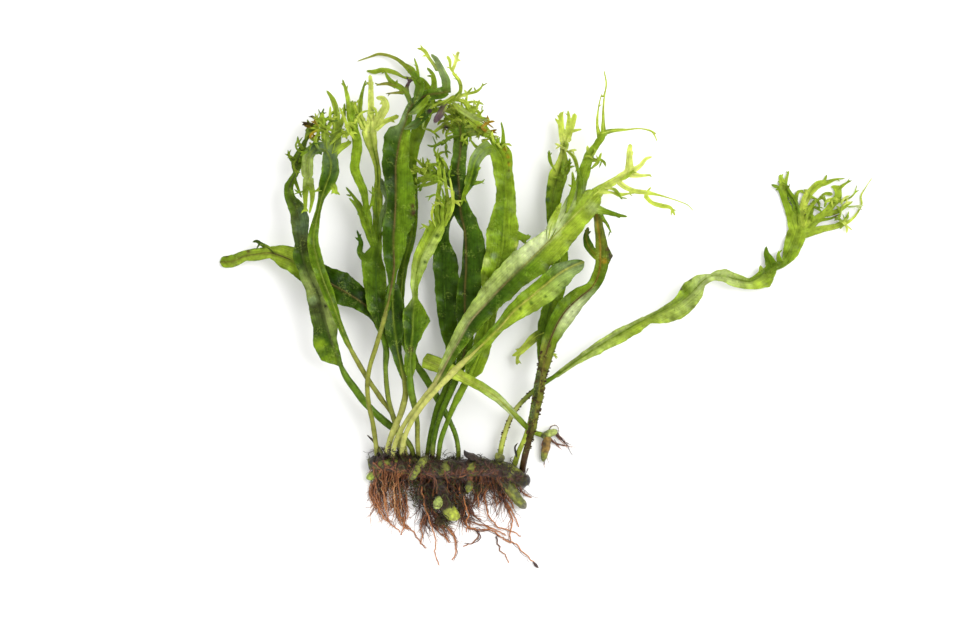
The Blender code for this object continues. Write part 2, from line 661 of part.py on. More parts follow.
            (347, 378, 4, 3, 9.5), (341, 366, 2.5, 2.5, 11), (337, 355, 16, 4, 12), (331, 340, 19, 6, 13),
            (327, 325, 14, 13, 13.5), (323, 310, 13, 16, 14), (319, 297, 12, 14, 14),
            (313, 283, 10, 12, 14),
            (307, 270, 8, 12, 14), (303, 256, 10, 10, 14), (301, 243, 6, 8, 14), (300, 232, 7, 9, 14),
            (299, 220, 8, 10, 14), (296, 208, 7, 9, 13.6), (291, 198, 6, 5, 13), (289, 190, 5, 5, 12.4),
            (292, 181, 4, 3, 12), (296, 173, 3, 2.4, 11.6), (297, 164, 6, 6, 11), (300, 155, 5, 5, 10.4),
            (303, 147, 3, 3, 9.8), (306, 140, 1.8, 1.8, 9.2), (309, 134, 4, 3, 8.6), (313, 129, 3, 2, 8.2),
            (317, 127, 2.6, 2.6, 8),
        ],
        [
            [(318, 128, 2.2, 8), (311, 126, 1.5, 7.6), (305, 131, 0.9, 7)],
            [(317, 129, 2.2, 8), (320, 118, 1.6, 7.4), (324, 108, 0.9, 6.6)],
            [(316, 127, 2.2, 8), (319, 136, 1.5, 7.6), (317, 143, 0.9, 7)],
            [(294, 177, 2.4, 12), (298, 188, 1.6, 11.4), (302, 198, 0.9, 10.8)],
        ],
    ),
    "frond_left_arch": (
        9,
        [
            (401, 464, 2.2, 2.2, 4.5), (401, 446, 2.2, 2.2, 6), (399, 430, 2.2, 2.2, 7),
            (391, 412, 2.2, 2.2, 8),
            (382, 400, 2.4, 2.4, 8.5), (374, 388, 2.4, 2.4, 9), (366, 376, 2.4, 2.4, 10),
            (358, 362, 2.5, 2.5, 12),
            (350, 347, 2.6, 2.6, 14), (344, 334, 3, 3, 16), (339, 320, 4, 2.6, 17), (334, 306, 5, 4, 17.5),
            (328, 291, 6, 6, 18), (322, 275, 6, 6, 18), (317, 258, 7, 6, 18), (314, 242, 6, 5, 18),
            (316, 226, 5, 4, 18), (319, 212, 3, 2.4, 18), (322, 199, 3.4, 3, 18), (327, 184, 8, 8, 18.4),
            (331, 172, 9, 9, 19), (331, 160, 9, 7, 20), (326, 151, 6, 8, 21), (317, 149, 5, 6, 21.5),
            (310, 156, 5, 6, 21), (308, 167, 6, 6, 20), (309, 180, 5, 6, 19),
        ],
        [
            [(330, 182, 5, 18.4), (335, 189, 3.4, 18), (337, 194, 1.4, 17.8)],
            [(308, 178, 4, 19), (306, 196, 3, 18.2), (306, 212, 1.4, 17.4)],
            [(310, 178, 4, 19), (313, 196, 2.8, 18.2), (310, 214, 1.2, 17.4)],
            [(331, 160, 6, 20), (336, 140, 6, 19), (337, 125, 3.8, 18.4), (337, 112, 3, 18),
             (333, 100, 2.4, 17.4),
             (327, 91, 1.2, 17)],
            [(333, 154, 5, 20), (345, 146, 3, 19), (352, 142, 1.6, 18.6)],
            [(329, 156, 5, 20), (326, 138, 3.8, 19), (324, 125, 3, 18.4), (323, 113, 1.2, 18)],
            [(337, 133, 3, 18.8), (344, 118, 2.4, 18), (345, 104, 1.4, 17.4)],
        ],
    ),
    "frond_yellow": (
        9,
        [
            (407, 464, 2.2, 2.2, 5.5), (403, 440, 2.2, 2.2, 8), (397, 425, 2.2, 2.2, 9),
            (392, 411, 2.2, 2.2, 9.5),
            (388.5, 398, 2.2, 2.2, 10), (387, 383, 2.2, 2.2, 10), (386, 368, 2.2, 2.2, 10.5),
            (387, 352, 2.5, 2.5, 11), (384, 337, 4, 3, 11.5), (380, 322, 5, 5, 12), (377, 305, 10, 9, 12),
            (376, 288, 12, 11, 12), (376, 270, 14, 10, 12), (376, 257, 13, 6, 12), (378, 245, 5, 4, 12),
            (378, 230, 4, 4, 12), (377, 212, 4, 6, 12), (377, 196, 4, 6, 12), (378, 180, 3, 3, 12),
            (377, 165, 3, 3, 12), (374, 152, 5, 4, 12), (371, 138, 7, 6, 12), (370, 126, 8, 7, 12),
        ],
        [
            [(371, 128, 5, 12), (371, 110, 3, 11.6), (371, 97, 2.8, 11.2), (371, 85, 2.5, 10.8),
             (370, 75, 1.6, 10.4)],
            [(374, 130, 4, 12), (382, 114, 4.3, 11.6), (386, 106, 3.4, 11.2), (383, 99, 2.6, 11),
             (376, 98, 1.6, 11)],
            [(374, 130, 4, 12), (385, 122, 2.6, 11.6), (393, 118.5, 2.4, 11.2), (399, 116, 1.6, 11)],
            [(366, 130, 4, 12), (360, 115, 3, 11.6), (361, 100, 2.2, 11.2), (363, 90, 1.6, 10.8),
             (366, 80, 1, 10.6)],
            [(368, 262, 4, 12), (360, 252, 3, 11.6), (361, 243, 2.4, 11.2), (357, 230, 1, 10.8)],
            [(377, 242, 3, 12), (372, 232, 2.4, 12), (369, 218, 3, 12), (366, 205, 3, 12),
             (364, 192, 4, 12),
             (359, 180, 4.6, 12), (355, 168, 5, 12), (357, 155, 5, 12), (358, 143, 5, 12),
             (355, 130, 4, 11.6),
             (354, 118, 3, 11.2), (351, 102, 1.4, 10.8)],
            [(356, 134, 3.4, 11.6), (350, 118, 2.6, 11.2), (348, 98, 2.2, 10.6), (343, 80, 1, 10)],
            [(379, 236, 3, 12), (384, 212, 3.6, 11.4), (388, 200, 3, 11), (384, 188, 3.4, 10.8),
             (381, 178, 1.2, 10.6)],
            [(377, 252, 4, 12), (371, 238, 4, 11.6), (366, 225, 4.2, 11.2), (361, 213, 3, 10.8),
             (356, 205, 2, 10.6),
             (349, 198, 1, 10.4)],
            [(364, 220, 3, 11), (359, 205, 2.4, 10.6), (346, 187, 1, 10.2)],
        ],
    ),
    "frond_mid_left": (
        6,
        [
            (384, 464, 3, 3, 5), (391, 438, 3, 3, 10), (396, 425, 3, 3, 11), (402, 410, 3, 3, 11),
            (405.5, 395, 3, 3, 11), (404.5, 380, 3, 3, 11), (401, 365, 4.6, 3, 11), (398, 352, 6, 4, 11),
            (396, 338, 10, 6, 11), (394, 322, 9, 11, 11), (393, 308, 9, 12, 11), (393, 295, 8, 8, 11),
            (394, 282, 4, 5, 11),
        ],
        [],
    ),
    "frond_kite": (
        6,
        [
            (419, 464, 2.3, 2.3, 5), (417.5, 440, 2.3, 2.3, 9), (417, 420, 2.4, 2.4, 11),
            (414, 403, 4, 3, 12),
            (411, 385, 5, 4, 12.5), (410, 365, 5, 5, 13), (411, 352, 3, 4, 13), (412, 342, 8, 6, 13),
            (413, 330, 9, 12, 13.5), (413, 320, 10, 19, 13.5), (414, 310, 10, 12, 13.5),
            (415, 298, 2.4, 2.4, 13.5),
            (415, 285, 4, 4, 13.5), (417, 272, 6, 7, 13.5), (421, 258, 8, 9, 13.5), (427, 245, 8, 10, 14),
            (434, 233, 8, 9, 15), (441, 222, 7, 7, 16),
        ],
        [
            [(438, 226, 4, 16), (437, 218, 2.6, 16), (433, 209, 1.2, 15.6)],
            [(440, 225, 4, 16), (441, 210, 3, 16), (439, 198, 1.4, 15.6)],
            [(443, 224, 4, 16), (447, 205, 3, 16), (444, 190, 1.3, 15.6)],
            [(445, 224, 4, 16), (452, 205, 3, 16), (454, 191, 1.3, 15.6)],
        ],
    ),
    "frond_big": (
        9,
        [
            (377, 466, 2.3, 2.3, 5), (376, 446, 2.3, 2.3, 8), (373, 424, 2.3, 2.3, 11),
            (369, 404, 2.3, 2.3, 13),
            (367.5, 385, 2.3, 2.3, 14), (370, 367, 2.3, 2.3, 15), (376, 347, 2.3, 2.3, 16),
            (382, 327, 2.3, 2.3, 16.5),
            (388, 305, 2.6, 2.6, 17), (393, 285, 6, 5, 17), (394, 268, 9, 8, 17), (394, 250, 11, 13, 17),
            (394, 235, 12, 13, 17), (395, 218, 10, 20, 17), (396, 200, 8, 20, 17), (396, 182, 11, 18, 17),
            (396, 165, 15, 13, 17), (398, 150, 15, 12, 17.4), (402, 136, 14, 8, 18), (406, 124, 7, 6, 19),
            (409, 112, 4.4, 5, 20), (416, 102, 5, 5, 20.5), (428, 96, 5, 6, 20.5), (440, 94, 6, 6, 20),
            (450, 92, 6, 4, 19),
        ],
        [
            [(446, 95, 5, 19.4), (446, 82, 5, 18.6), (441, 70, 4, 17.8), (436, 60, 3.4, 17),
             (431, 54, 1.4, 16.4)],
            [(434, 95, 4.4, 20), (434, 78, 3, 18.8), (430, 71, 2, 18.2), (426, 66, 1.1, 17.8)],
            [(441, 80, 3.4, 18.4), (438, 70, 2.6, 17.8), (432, 62, 2.4, 17.2), (426, 54, 2.2, 16.6),
             (417, 49, 1, 16.2)],
            [(410, 110, 4, 20), (410, 99, 3.6, 19.6), (405, 92, 3.8, 19.2), (400, 88, 3, 18.8),
             (393, 84, 3.2, 18.4),
             (386, 79, 2, 18), (383, 72, 1, 17.6)],
            [(398, 87, 3, 18.6), (388, 84.5, 2, 18), (376, 86, 1.1, 17.4)],
            [(405, 93, 3.4, 19), (397, 94, 1.6, 18.6), (386, 94.5, 0.9, 18)],
            [(406, 94, 3.4, 19), (408, 86, 2, 18.8), (412, 79, 1.2, 18.6)],
            [(448, 94, 4, 19.2), (457, 98, 3, 18.6), (463, 96, 2, 18), (470, 94, 1.6, 17.4),
             (477, 92, 1.5, 17), (482, 87, 1, 16.6)],
            [(457, 98, 3, 18.6), (461, 91, 2, 18.2), (459, 81, 1.8, 17.8), (454, 74, 1.7, 17.4),
             (451, 67, 1.8, 17), (447, 57, 1.5, 16.6)],
            [(453, 73, 1.7, 17.4), (455, 65, 1.8, 17), (458, 53, 1.6, 16.6)],
        ],
    ),
    "plantlet_leaf": (
        4,
        [
            (545, 436, 2.4, 2.4, 2.6), (536, 433, 2.5, 2.5, 7), (528, 428, 2.8, 2.8, 11),
            (518, 418, 3.2, 3.2, 11),
            (508, 408, 3.8, 3.8, 9.8), (495, 396, 4.5, 4.5, 10), (480, 386, 5, 5, 11),
            (465, 378, 5.5, 5, 13),
            (450, 371, 6, 5, 14), (436, 364, 7, 6, 13), (424, 360, 8, 6, 12),
        ],
        [],
    ),
    "frond_spore_stem": (
        6,
        [
            (521, 478, 3, 3, 4.5), (525, 456, 3.2, 3.2, 8), (530, 437, 3.6, 3.6, 10),
            (534, 418, 4.6, 4.4, 11),
            (538, 398, 5, 4.6, 12), (541, 378, 5, 5, 12.5), (545, 358, 6, 7, 13), (550, 340, 8, 8, 13.5),
            (558, 322, 9, 12, 14), (568, 308, 11, 12, 14), (580, 297, 10, 8, 14), (592, 287, 6, 6, 14),
            (598, 275, 6, 8, 14), (600, 262, 5, 9, 14), (600, 248, 5, 10, 14), (599, 235, 4, 7, 13.6),
            (597, 222, 3, 5, 13), (596, 212, 4, 4, 12.4),
        ],
        [
            [(596, 257, 5, 14), (589, 247, 4.4, 13.6), (586, 238, 3.4, 13.2), (588, 227, 1.4, 12.8)],
            [(597, 216, 3.4, 12.4), (606, 223, 1.6, 12), (611, 233, 1, 11.6)],
        ],
    ),
    "frond_long_diagonal": (
        5,
        [
            (390, 468, 2.4, 2.4, 7), (398, 436, 2.4, 2.4, 13), (410, 416, 2.4, 2.4, 14),
            (424, 398, 2.6, 2.6, 15),
            (438, 379, 3.4, 4, 16), (449, 358, 6, 6, 16), (459, 341, 8, 8, 16.5), (470, 322, 9, 12, 17),
            (484, 306, 12, 12, 17), (500, 289, 15, 14, 17), (517, 272, 17, 16, 17), (534, 256, 15, 20, 17),
            (548, 242, 12, 20, 17), (562, 228, 10, 18, 17), (576, 214, 10, 15, 17),
            (588, 202, 11, 13, 16.5),
            (597, 192, 8, 8, 16),
        ],
        [
            [(594, 195, 6, 16), (608, 185, 4.4, 15.6), (618, 179, 4, 15.2), (628, 172, 5, 15),
             (629, 158, 3.6, 14.6),
             (630, 144, 1.8, 14)],
            [(625, 174, 4.4, 15), (640, 166, 3, 14.6), (652, 157, 1.2, 14)],
            [(628, 174, 4.4, 15), (641, 176, 2.4, 14.6), (651, 175, 1.1, 14)],
            [(610, 184, 4.4, 15.6), (628, 187, 3.8, 15), (637, 192, 3.8, 14.6), (647, 194, 3, 14.2),
             (657, 195, 1.6, 13.8),
             (668, 198, 1, 13.4), (680, 202, 0.9, 13), (692, 211, 0.8, 12.4)],
            [(644, 195, 2.4, 14), (652, 203, 2.2, 13.6), (662, 206, 2.4, 13.2), (670, 208, 2, 12.8),
             (675, 216, 1, 12.4)],
            [(550, 240, 9, 17), (561, 216, 9, 17), (570, 202, 9, 17), (578, 190, 9, 16.8),
             (584, 175, 8, 16.4),
             (588, 162, 6.6, 16), (590, 154, 4.4, 15.6), (596, 146, 3.4, 15.2), (603, 134, 3.8, 14.8)],
            [(603, 138, 3.2, 14.8), (603, 118, 1.7, 14), (604, 98, 1.2, 13.2), (604, 84, 1.1, 12.6),
             (604, 71, 1, 12)],
            [(601, 134, 3, 14.8), (612, 131, 2.4, 14.4), (626, 130, 1.3, 13.8), (641, 129, 1, 13.2),
             (657, 134, 0.9, 12.6)],
            [(600, 140, 3, 15), (597, 126, 1.7, 14.2), (598, 112, 1.2, 13.6)],
            [(592, 208, 6, 16.4), (606, 212, 3, 15.8), (616, 215, 2.4, 15.4), (627, 217, 1.1, 15)],
            [(597, 193, 3, 16), (612, 193, 1.2, 15.4), (620, 195, 2.2, 15), (636, 193, 0.9, 14.4)],
        ],
    ),
    "frond_plain_tip": (
        7,
        [
            (401, 464, 2.4, 2.4, 6), (404, 440, 2.4, 2.4, 14), (410, 425, 2.4, 2.4, 16),
            (421, 408, 2.4, 2.4, 17),
            (436, 390, 2.5, 2.5, 18.5), (452, 373, 2.6, 3.4, 19), (470, 356, 4, 4, 19.5),
            (487, 340, 5, 6, 20),
            (500, 327, 6, 4.6, 20), (513, 312, 8, 11, 20), (528, 299, 9, 15, 20), (545, 285, 9, 16, 20),
            (560, 273, 10, 14, 20), (573, 266, 6, 9, 19.6), (584, 262, 3, 6, 19),
        ],
        [],
    ),
}

# The young plant that lies beside the others.
PLANTLET_RHIZOME = [
    [(541, 437, 3, 3, 2.4, 3.0), (549, 434, 4, 4, 2.4, 3.6), (558, 431, 3.2, 3.2, 2.2, 3.0)],
    [(548, 434, 4, 4, 2.2, 3.6), (546, 448, 4.4, 4.4, 1.8, 3.4), (543, 462, 2.8, 2.8, 1.3, 2.4)],
]


def plantlet_strips():
    """The two short stocks of the young plant."""
    made = []
    for rows in PLANTLET_RHIZOME:
        thick = [row[5] * MM for row in rows]
        made.append(strip_of_pixels([row[:5] for row in rows], thick, STOCK_SPACING))
    return made


finished(body("plantlet_rhizome", plantlet_strips(), []), BUD_LOOK)


def plantlet_cutters():
    """Makers of the cutters that keep the leaf and the roots clear of the young plant's stock."""
    return [lambda strip=each: strip_mesh(strip, GAP_AT_RHIZOME) for each in plantlet_strips()]


PLANTLET_ROOTS = [
    [(549, 438, 2.4, 1.6, 1.2), (556, 444, 1.4, 0.8, 0.8), (566, 446, 1.4, 0.4, 0.8),
     (576, 448, 0.9, 0.3, 0.5)],
    [(555, 432, 2.2, 1.6, 1.2), (560, 438, 1.2, 0.8, 0.7), (567, 446, 1.2, 0.4, 0.7),
     (573, 457, 0.8, 0.3, 0.5)],
]
root_strips = []
for strand in PLANTLET_ROOTS:
    thick = [row[4] * MM for row in strand]
    rows = [(x, y, half, half, lift) for x, y, half, lift, _ in strand]
    root_strips.append(strip_of_pixels(rows, thick, LOBE_SPACING))
finished(body("plantlet_roots", root_strips, plantlet_cutters()), ROOT_LOOK)
add_to_pile(plantlet_strips())


def frond_strips(stem_rows, spine, lobes):
    """The strips of one frond: the spine with its stem, then the lobes of its crest."""
    thickness = []
    for number in range(len(spine)):
        beyond = np.clip((number - stem_rows + 1) / 2, 0, 1)
        thickness.append(STEM_THICKNESS * (1 - beyond) + BLADE_THICKNESS * beyond)
    made = [strip_of_pixels(spine, thickness, STATION_SPACING)]
    for lobe in lobes:
        rows = [(x, y, half, half, lift) for x, y, half, lift in lobe]
        thin = [LOBE_THICKNESS] * len(rows)
        made.append(strip_of_pixels(rows, thin, LOBE_SPACING))
        made[-1].is_lobe = True
    return made


FROND_LOOKS = {
    "frond_far_right": YELLOW_LEAF,
    "frond_broad": YELLOW_LEAF,
    "frond_right_crest": YELLOW_LEAF,
    "frond_yellow": GREEN_LEAF,
    "frond_left_arch": GREEN_LEAF,
    "frond_long_diagonal": GREEN_LEAF,
    "frond_kite": GREEN_LEAF,
    "frond_bend": GREEN_LEAF,
}

for frond_name, (stem_rows, spine, lobes) in FRONDS.items():
    laid = frond_strips(stem_rows, spine, lobes)
    drape(laid)
    add_to_pile(laid, FIXED_STATIONS)
    cutters = plantlet_cutters() if frond_name == "plantlet_leaf" else [rhizome_cutter]
    finished(body(frond_name, laid, cutters), FROND_LOOKS.get(frond_name, DARK_LEAF))
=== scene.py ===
"""The looks of a bare-rooted java fern with lace-like frond tips, lying flat.

Middle lines and widths are read off the photograph in its pixels, and place() turns a pixel
into metres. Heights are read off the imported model, so that each piece stays where its node is.
"""

import math
import random

import bpy
import numpy as np
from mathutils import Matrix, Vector, noise
from mathutils.bvhtree import BVHTree
from mathutils.geometry import delaunay_2d_cdt


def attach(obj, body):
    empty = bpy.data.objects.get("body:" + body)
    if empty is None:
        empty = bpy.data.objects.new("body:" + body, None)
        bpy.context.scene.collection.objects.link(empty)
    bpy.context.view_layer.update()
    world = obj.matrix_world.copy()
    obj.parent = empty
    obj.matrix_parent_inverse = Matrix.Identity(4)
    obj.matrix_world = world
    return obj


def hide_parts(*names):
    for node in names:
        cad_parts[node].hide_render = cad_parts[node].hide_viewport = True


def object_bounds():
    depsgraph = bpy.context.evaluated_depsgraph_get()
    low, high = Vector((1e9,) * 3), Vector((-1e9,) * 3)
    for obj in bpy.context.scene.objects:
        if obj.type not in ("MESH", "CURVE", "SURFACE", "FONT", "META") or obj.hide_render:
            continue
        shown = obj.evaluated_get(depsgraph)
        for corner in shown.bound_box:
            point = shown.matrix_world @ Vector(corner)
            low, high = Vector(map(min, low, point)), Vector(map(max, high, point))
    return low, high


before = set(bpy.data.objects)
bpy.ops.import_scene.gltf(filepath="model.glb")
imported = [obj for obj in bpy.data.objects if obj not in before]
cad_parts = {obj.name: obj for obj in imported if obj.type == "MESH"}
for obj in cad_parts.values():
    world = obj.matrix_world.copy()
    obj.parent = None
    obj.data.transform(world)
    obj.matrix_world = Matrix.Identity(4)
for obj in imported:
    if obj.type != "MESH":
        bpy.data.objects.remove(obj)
cad_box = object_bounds()
random.seed(7)

# The rhizome is the creeping stem that the fronds and roots grow from: a knobbly cord about
# 8 mm thick, olive where the skin shows and nearly black where old scales cover it. It lies on
# its flat underside, and every stem and root grows out of it.
MM = 0.001
PIXEL = 0.4 * MM
MIDDLE_X_PIXEL = 540.0
MIDDLE_Y_PIXEL = 308.5


def place(x_pixel, y_pixel):
    """A pixel of the photograph as X and Y in metres."""
    return (x_pixel - MIDDLE_X_PIXEL) * PIXEL, (MIDDLE_Y_PIXEL - y_pixel) * PIXEL


def rgb(red, green, blue):
    """A colour seen on screen, 0 to 255, in linear light."""
    return tuple(
        c / 255 / 12.92 if c / 255 <= 0.04045 else ((c / 255 + 0.055) / 1.055) ** 2.4
        for c in (red, green, blue)
    )


def noise_at(points, size, seed):
    """Smooth noise from -1 to 1 at each point, with lumps of about this size."""
    shift = Vector((seed * 7.3, seed * 3.1, seed * 5.7))
    return np.array([noise.noise(Vector(p) / size + shift) for p in points])


def smooth_step(x):
    """Eases from 0 to 1 as x goes from 0 to 1."""
    x = np.clip(x, 0, 1)
    return x * x * (3 - 2 * x)


def mixed(a, b, share):
    """Colours between a and b, by share."""
    share = np.asarray(share)[..., None]
    return np.asarray(a) * (1 - share) + np.asarray(b) * share


class Build:
    """Gathers closed shells and the values at their points, and makes one object of them."""

    def __init__(self):
        self.points = []
        self.faces = []
        self.tint = []
        self.run = []
        self.across = []
        self.count = 0

    def add(self, points, faces, tint, run=None, across=None):
        """Adds one shell: its points, faces, colours, and places along and across it."""
        size = len(points)
        self.points.append(np.asarray(points, float))
        self.faces.extend(tuple(int(i) + self.count for i in face) for face in faces)
        self.tint.append(np.broadcast_to(np.asarray(tint, float), (size, 3)))
        self.run.append(np.zeros(size) if run is None else np.asarray(run, float))
        self.across.append(np.zeros(size) if across is None else np.asarray(across, float))
        self.count += size

    def made(self, name, material, sharp=50):
        """One object of all the shells, with their values as mesh attributes."""
        mesh = bpy.data.meshes.new(name)
        mesh.from_pydata(np.concatenate(self.points).tolist(), [], self.faces)
        tint = np.column_stack([np.concatenate(self.tint), np.ones(self.count)])
        colour = mesh.color_attributes.new("tint", "FLOAT_COLOR", "POINT")
        colour.data.foreach_set("color", np.clip(tint, 0, 1).astype(np.float32).ravel())
        for label, values in (("run", self.run), ("across", self.across)):
            layer = mesh.attributes.new(label, "FLOAT", "POINT")
            layer.data.foreach_set("value", np.concatenate(values).astype(np.float32))
        mesh.shade_smooth()
        mesh.set_sharp_from_angle(angle=math.radians(sharp))
        mesh.materials.append(material)
        piece = bpy.data.objects.new(name, mesh)
        bpy.context.scene.collection.objects.link(piece)
        return piece


def steps_along(points):
    """How far along the line each point is."""
    return np.concatenate([[0], np.cumsum(np.linalg.norm(np.diff(points, axis=0), axis=1))])


def directions(xy):
    """The direction of a flat line at each point, and the direction to its left."""
    tangent = np.gradient(xy, axis=0)
    tangent /= np.linalg.norm(tangent, axis=1)[:, None]
    return tangent, np.column_stack([-tangent[:, 1], tangent[:, 0]])


def curve_through(rows, step):
    """Rows whose first two columns are X and Y, run through a smooth curve at even steps."""
    rows = np.array(rows, float)
    along = steps_along(rows[:, :2])
    count = max(3, int(round(along[-1] / step)) + 1)
    wanted = np.linspace(0, along[-1], count)
    slopes = np.gradient(rows[:, :2], along, axis=0)
    out = np.zeros((count, rows.shape[1]))
    for column in range(2, rows.shape[1]):
        out[:, column] = np.interp(wanted, along, rows[:, column])
    which = np.clip(np.searchsorted(along, wanted, side="right") - 1, 0, len(rows) - 2)
    length = along[which + 1] - along[which]
    f = ((wanted - along[which]) / length)[:, None]
    length = length[:, None]
    out[:, :2] = (
        rows[which, :2] * (2 * f**3 - 3 * f**2 + 1)
        + slopes[which] * length * (f**3 - 2 * f**2 + f)
        + rows[which + 1, :2] * (3 * f**2 - 2 * f**3)
        + slopes[which + 1] * length * (f**3 - f**2)
    )
    return out


def tube(points, radii, sides, flat=1.0):
    """Points and faces of a closed tube. Flat is its height over its width."""
    points = np.asarray(points, float)
    radii = np.asarray(radii, float)
    tangent = np.gradient(points, axis=0)
    tangent /= np.linalg.norm(tangent, axis=1)[:, None] + 1e-12
    side = np.cross(tangent, (0, 0, 1.0))
    weak = np.linalg.norm(side, axis=1) < 0.05
    side[weak] = (1, 0, 0)
    side /= np.linalg.norm(side, axis=1)[:, None]
    up = np.cross(side, tangent)
    turn = np.arange(sides) * 2 * math.pi / sides
    ring = (
        side[:, None, :] * np.cos(turn)[None, :, None]
        + up[:, None, :] * np.sin(turn)[None, :, None] * flat
    )
    rings = points[:, None, :] + ring * radii[:, None, None]
    count = len(points)
    vertices = np.concatenate([rings.reshape(-1, 3), points[:1], points[-1:]])
    faces = []
    for k in range(count - 1):
        for j in range(sides):
            n = (j + 1) % sides
            faces.append((k * sides + j, (k + 1) * sides + j, (k + 1) * sides + n, k * sides + n))
    first = count * sides
    for j in range(sides):
        n = (j + 1) % sides
        faces.append((first, j, n))
        faces.append((first + 1, (count - 1) * sides + n, (count - 1) * sides + j))
    return vertices, faces


def per_point(values, sides):
    """A value for each ring of a tube, as one for each point. A tube's last points are its ends."""
    return np.concatenate([np.repeat(values, sides, axis=0), values[[0, -1]]])


def outward(points, centres):
    """The direction from each centre to its point."""
    out = points - centres
    return out / (np.linalg.norm(out, axis=1)[:, None] + 1e-9)


def wired(tree, kind, inputs, **settings):
    """A new shader node, with each input set to a value or linked to a socket."""
    node = tree.nodes.new(kind)
    for name, value in settings.items():
        setattr(node, name, value)
    for socket, value in inputs.items():
        if isinstance(value, bpy.types.NodeSocket):
            tree.links.new(value, node.inputs[socket])
        else:
            node.inputs[socket].default_value = value
    return node


def calc(tree, operation, *values):
    """The result of a Math node on numbers or sockets."""
    return wired(tree, "ShaderNodeMath", dict(enumerate(values)), operation=operation).outputs[0]


def noise_of(tree, where, scale, detail=2):
    """Noise at a place, from 0 to 1."""
    inputs = {"Vector": where, "Scale": scale, "Detail": detail}
    return wired(tree, "ShaderNodeTexNoise", inputs).outputs["Fac"]


def spread(tree, value, low, high, to_low=0.0, to_high=1.0):
    """A value stretched from one range to another."""
    ranges = {"Value": value, "From Min": low, "From Max": high, "To Min": to_low, "To Max": to_high}
    return wired(tree, "ShaderNodeMapRange", ranges).outputs[0]


def scaled(tree, colour, factor):
    """A colour made darker or lighter."""
    inputs = {0: colour, "Scale": factor}
    return wired(tree, "ShaderNodeVectorMath", inputs, operation="SCALE").outputs["Vector"]


def mottle_group():
    """Blotches of a darker and a lighter tone over a colour, and their height for a bump."""
    group = bpy.data.node_groups.new("Mottle", "ShaderNodeTree")
    group.interface.new_socket("Colour", in_out="INPUT", socket_type="NodeSocketColor")
    for label, value in (("Dark", 0.7), ("Light", 1.2), ("Scale", 300.0)):
        socket = group.interface.new_socket(label, in_out="INPUT", socket_type="NodeSocketFloat")
        socket.default_value = value
    group.interface.new_socket("Colour", in_out="OUTPUT", socket_type="NodeSocketColor")
    group.interface.new_socket("Height", in_out="OUTPUT", socket_type="NodeSocketFloat")
    start = group.nodes.new("NodeGroupInput").outputs
    where = wired(group, "ShaderNodeTexCoord", {}).outputs["Object"]
    blotch = noise_of(group, where, start["Scale"], 4)
    tone = spread(group, blotch, 0.32, 0.68, start["Dark"], start["Light"])
    wired(group, "NodeGroupOutput", {"Colour": scaled(group, start["Colour"], tone), "Height": blotch})
    return group


MOTTLE = mottle_group()


def material_of(name):
    """A new material, its shader, and its node tree."""
    material = bpy.data.materials.new(name)
    material.use_nodes = True
    return material, material.node_tree.nodes["Principled BSDF"].inputs, material.node_tree


def with_mottle(tree, dark, light, scale):
    """The outputs of a Mottle group that is fed with the tint attribute."""
    tint = wired(tree, "ShaderNodeAttribute", {}, attribute_name="tint").outputs["Color"]
    mottle = wired(tree, "ShaderNodeGroup", {}, node_tree=MOTTLE)
    for label, value in (("Dark", dark), ("Light", light), ("Scale", scale)):
        mottle.inputs[label].default_value = value
    tree.links.new(tint, mottle.inputs["Colour"])
    return mottle.outputs


def bark_material():
    """Rough, wet, scaly skin: the tint, broken into small blotches, with a coarse bump."""
    material, shader, tree = material_of("rhizome skin")
    mottle = with_mottle(tree, 0.5, 1.5, 700)
    cells = wired(tree, "ShaderNodeTexVoronoi", {"Scale": 520}).outputs["Distance"]
    height = calc(tree, "ADD", mottle["Height"], cells)
    bump = wired(tree, "ShaderNodeBump", {"Height": height, "Strength": 0.9, "Distance": 0.5 * MM})
    tree.links.new(mottle["Colour"], shader["Base Color"])
    tree.links.new(bump.outputs["Normal"], shader["Normal"])
    shader["Roughness"].default_value = 0.5
    shader["Coat Weight"].default_value = 0.2
    shader["Coat Roughness"].default_value = 0.3
    return material


BARK = bark_material()
BARK_BROWN = rgb(62, 42, 26)
BARK_BLACK = rgb(30, 22, 14)
OLIVE = rgb(116, 118, 40)
BUD_GREEN = rgb(178, 200, 62)
MOSS = rgb(150, 158, 48)

RHIZOME_HEIGHT = 7.6 * MM
RHIZOME_PATH = [
    (368, 465, 4.5), (374, 464, 7), (384, 463, 8.6), (394, 464, 9), (408, 466, 9),
    (422, 468, 9.5), (436, 470, 10), (450, 470, 9.5), (464, 469, 9), (478, 468, 9),
    (492, 469, 9), (506, 472, 9), (517, 477, 8), (525, 481.5, 6.8), (528, 483, 5),
]
# Olive patches: pixel X, pixel Y and radius.
OLIVE_PATCHES = [
    (379, 464, 6), (388, 462, 7), (396, 461, 5), (407, 474, 5), (446, 468, 7), (472, 468, 6),
    (500, 463, 7), (512, 470, 6), (508, 480, 5),
]
RHIZOME_SIDES = 36
# The lowest that a point of a piece may come: a hair above the table.
TABLE_GAP = 0.02 * MM


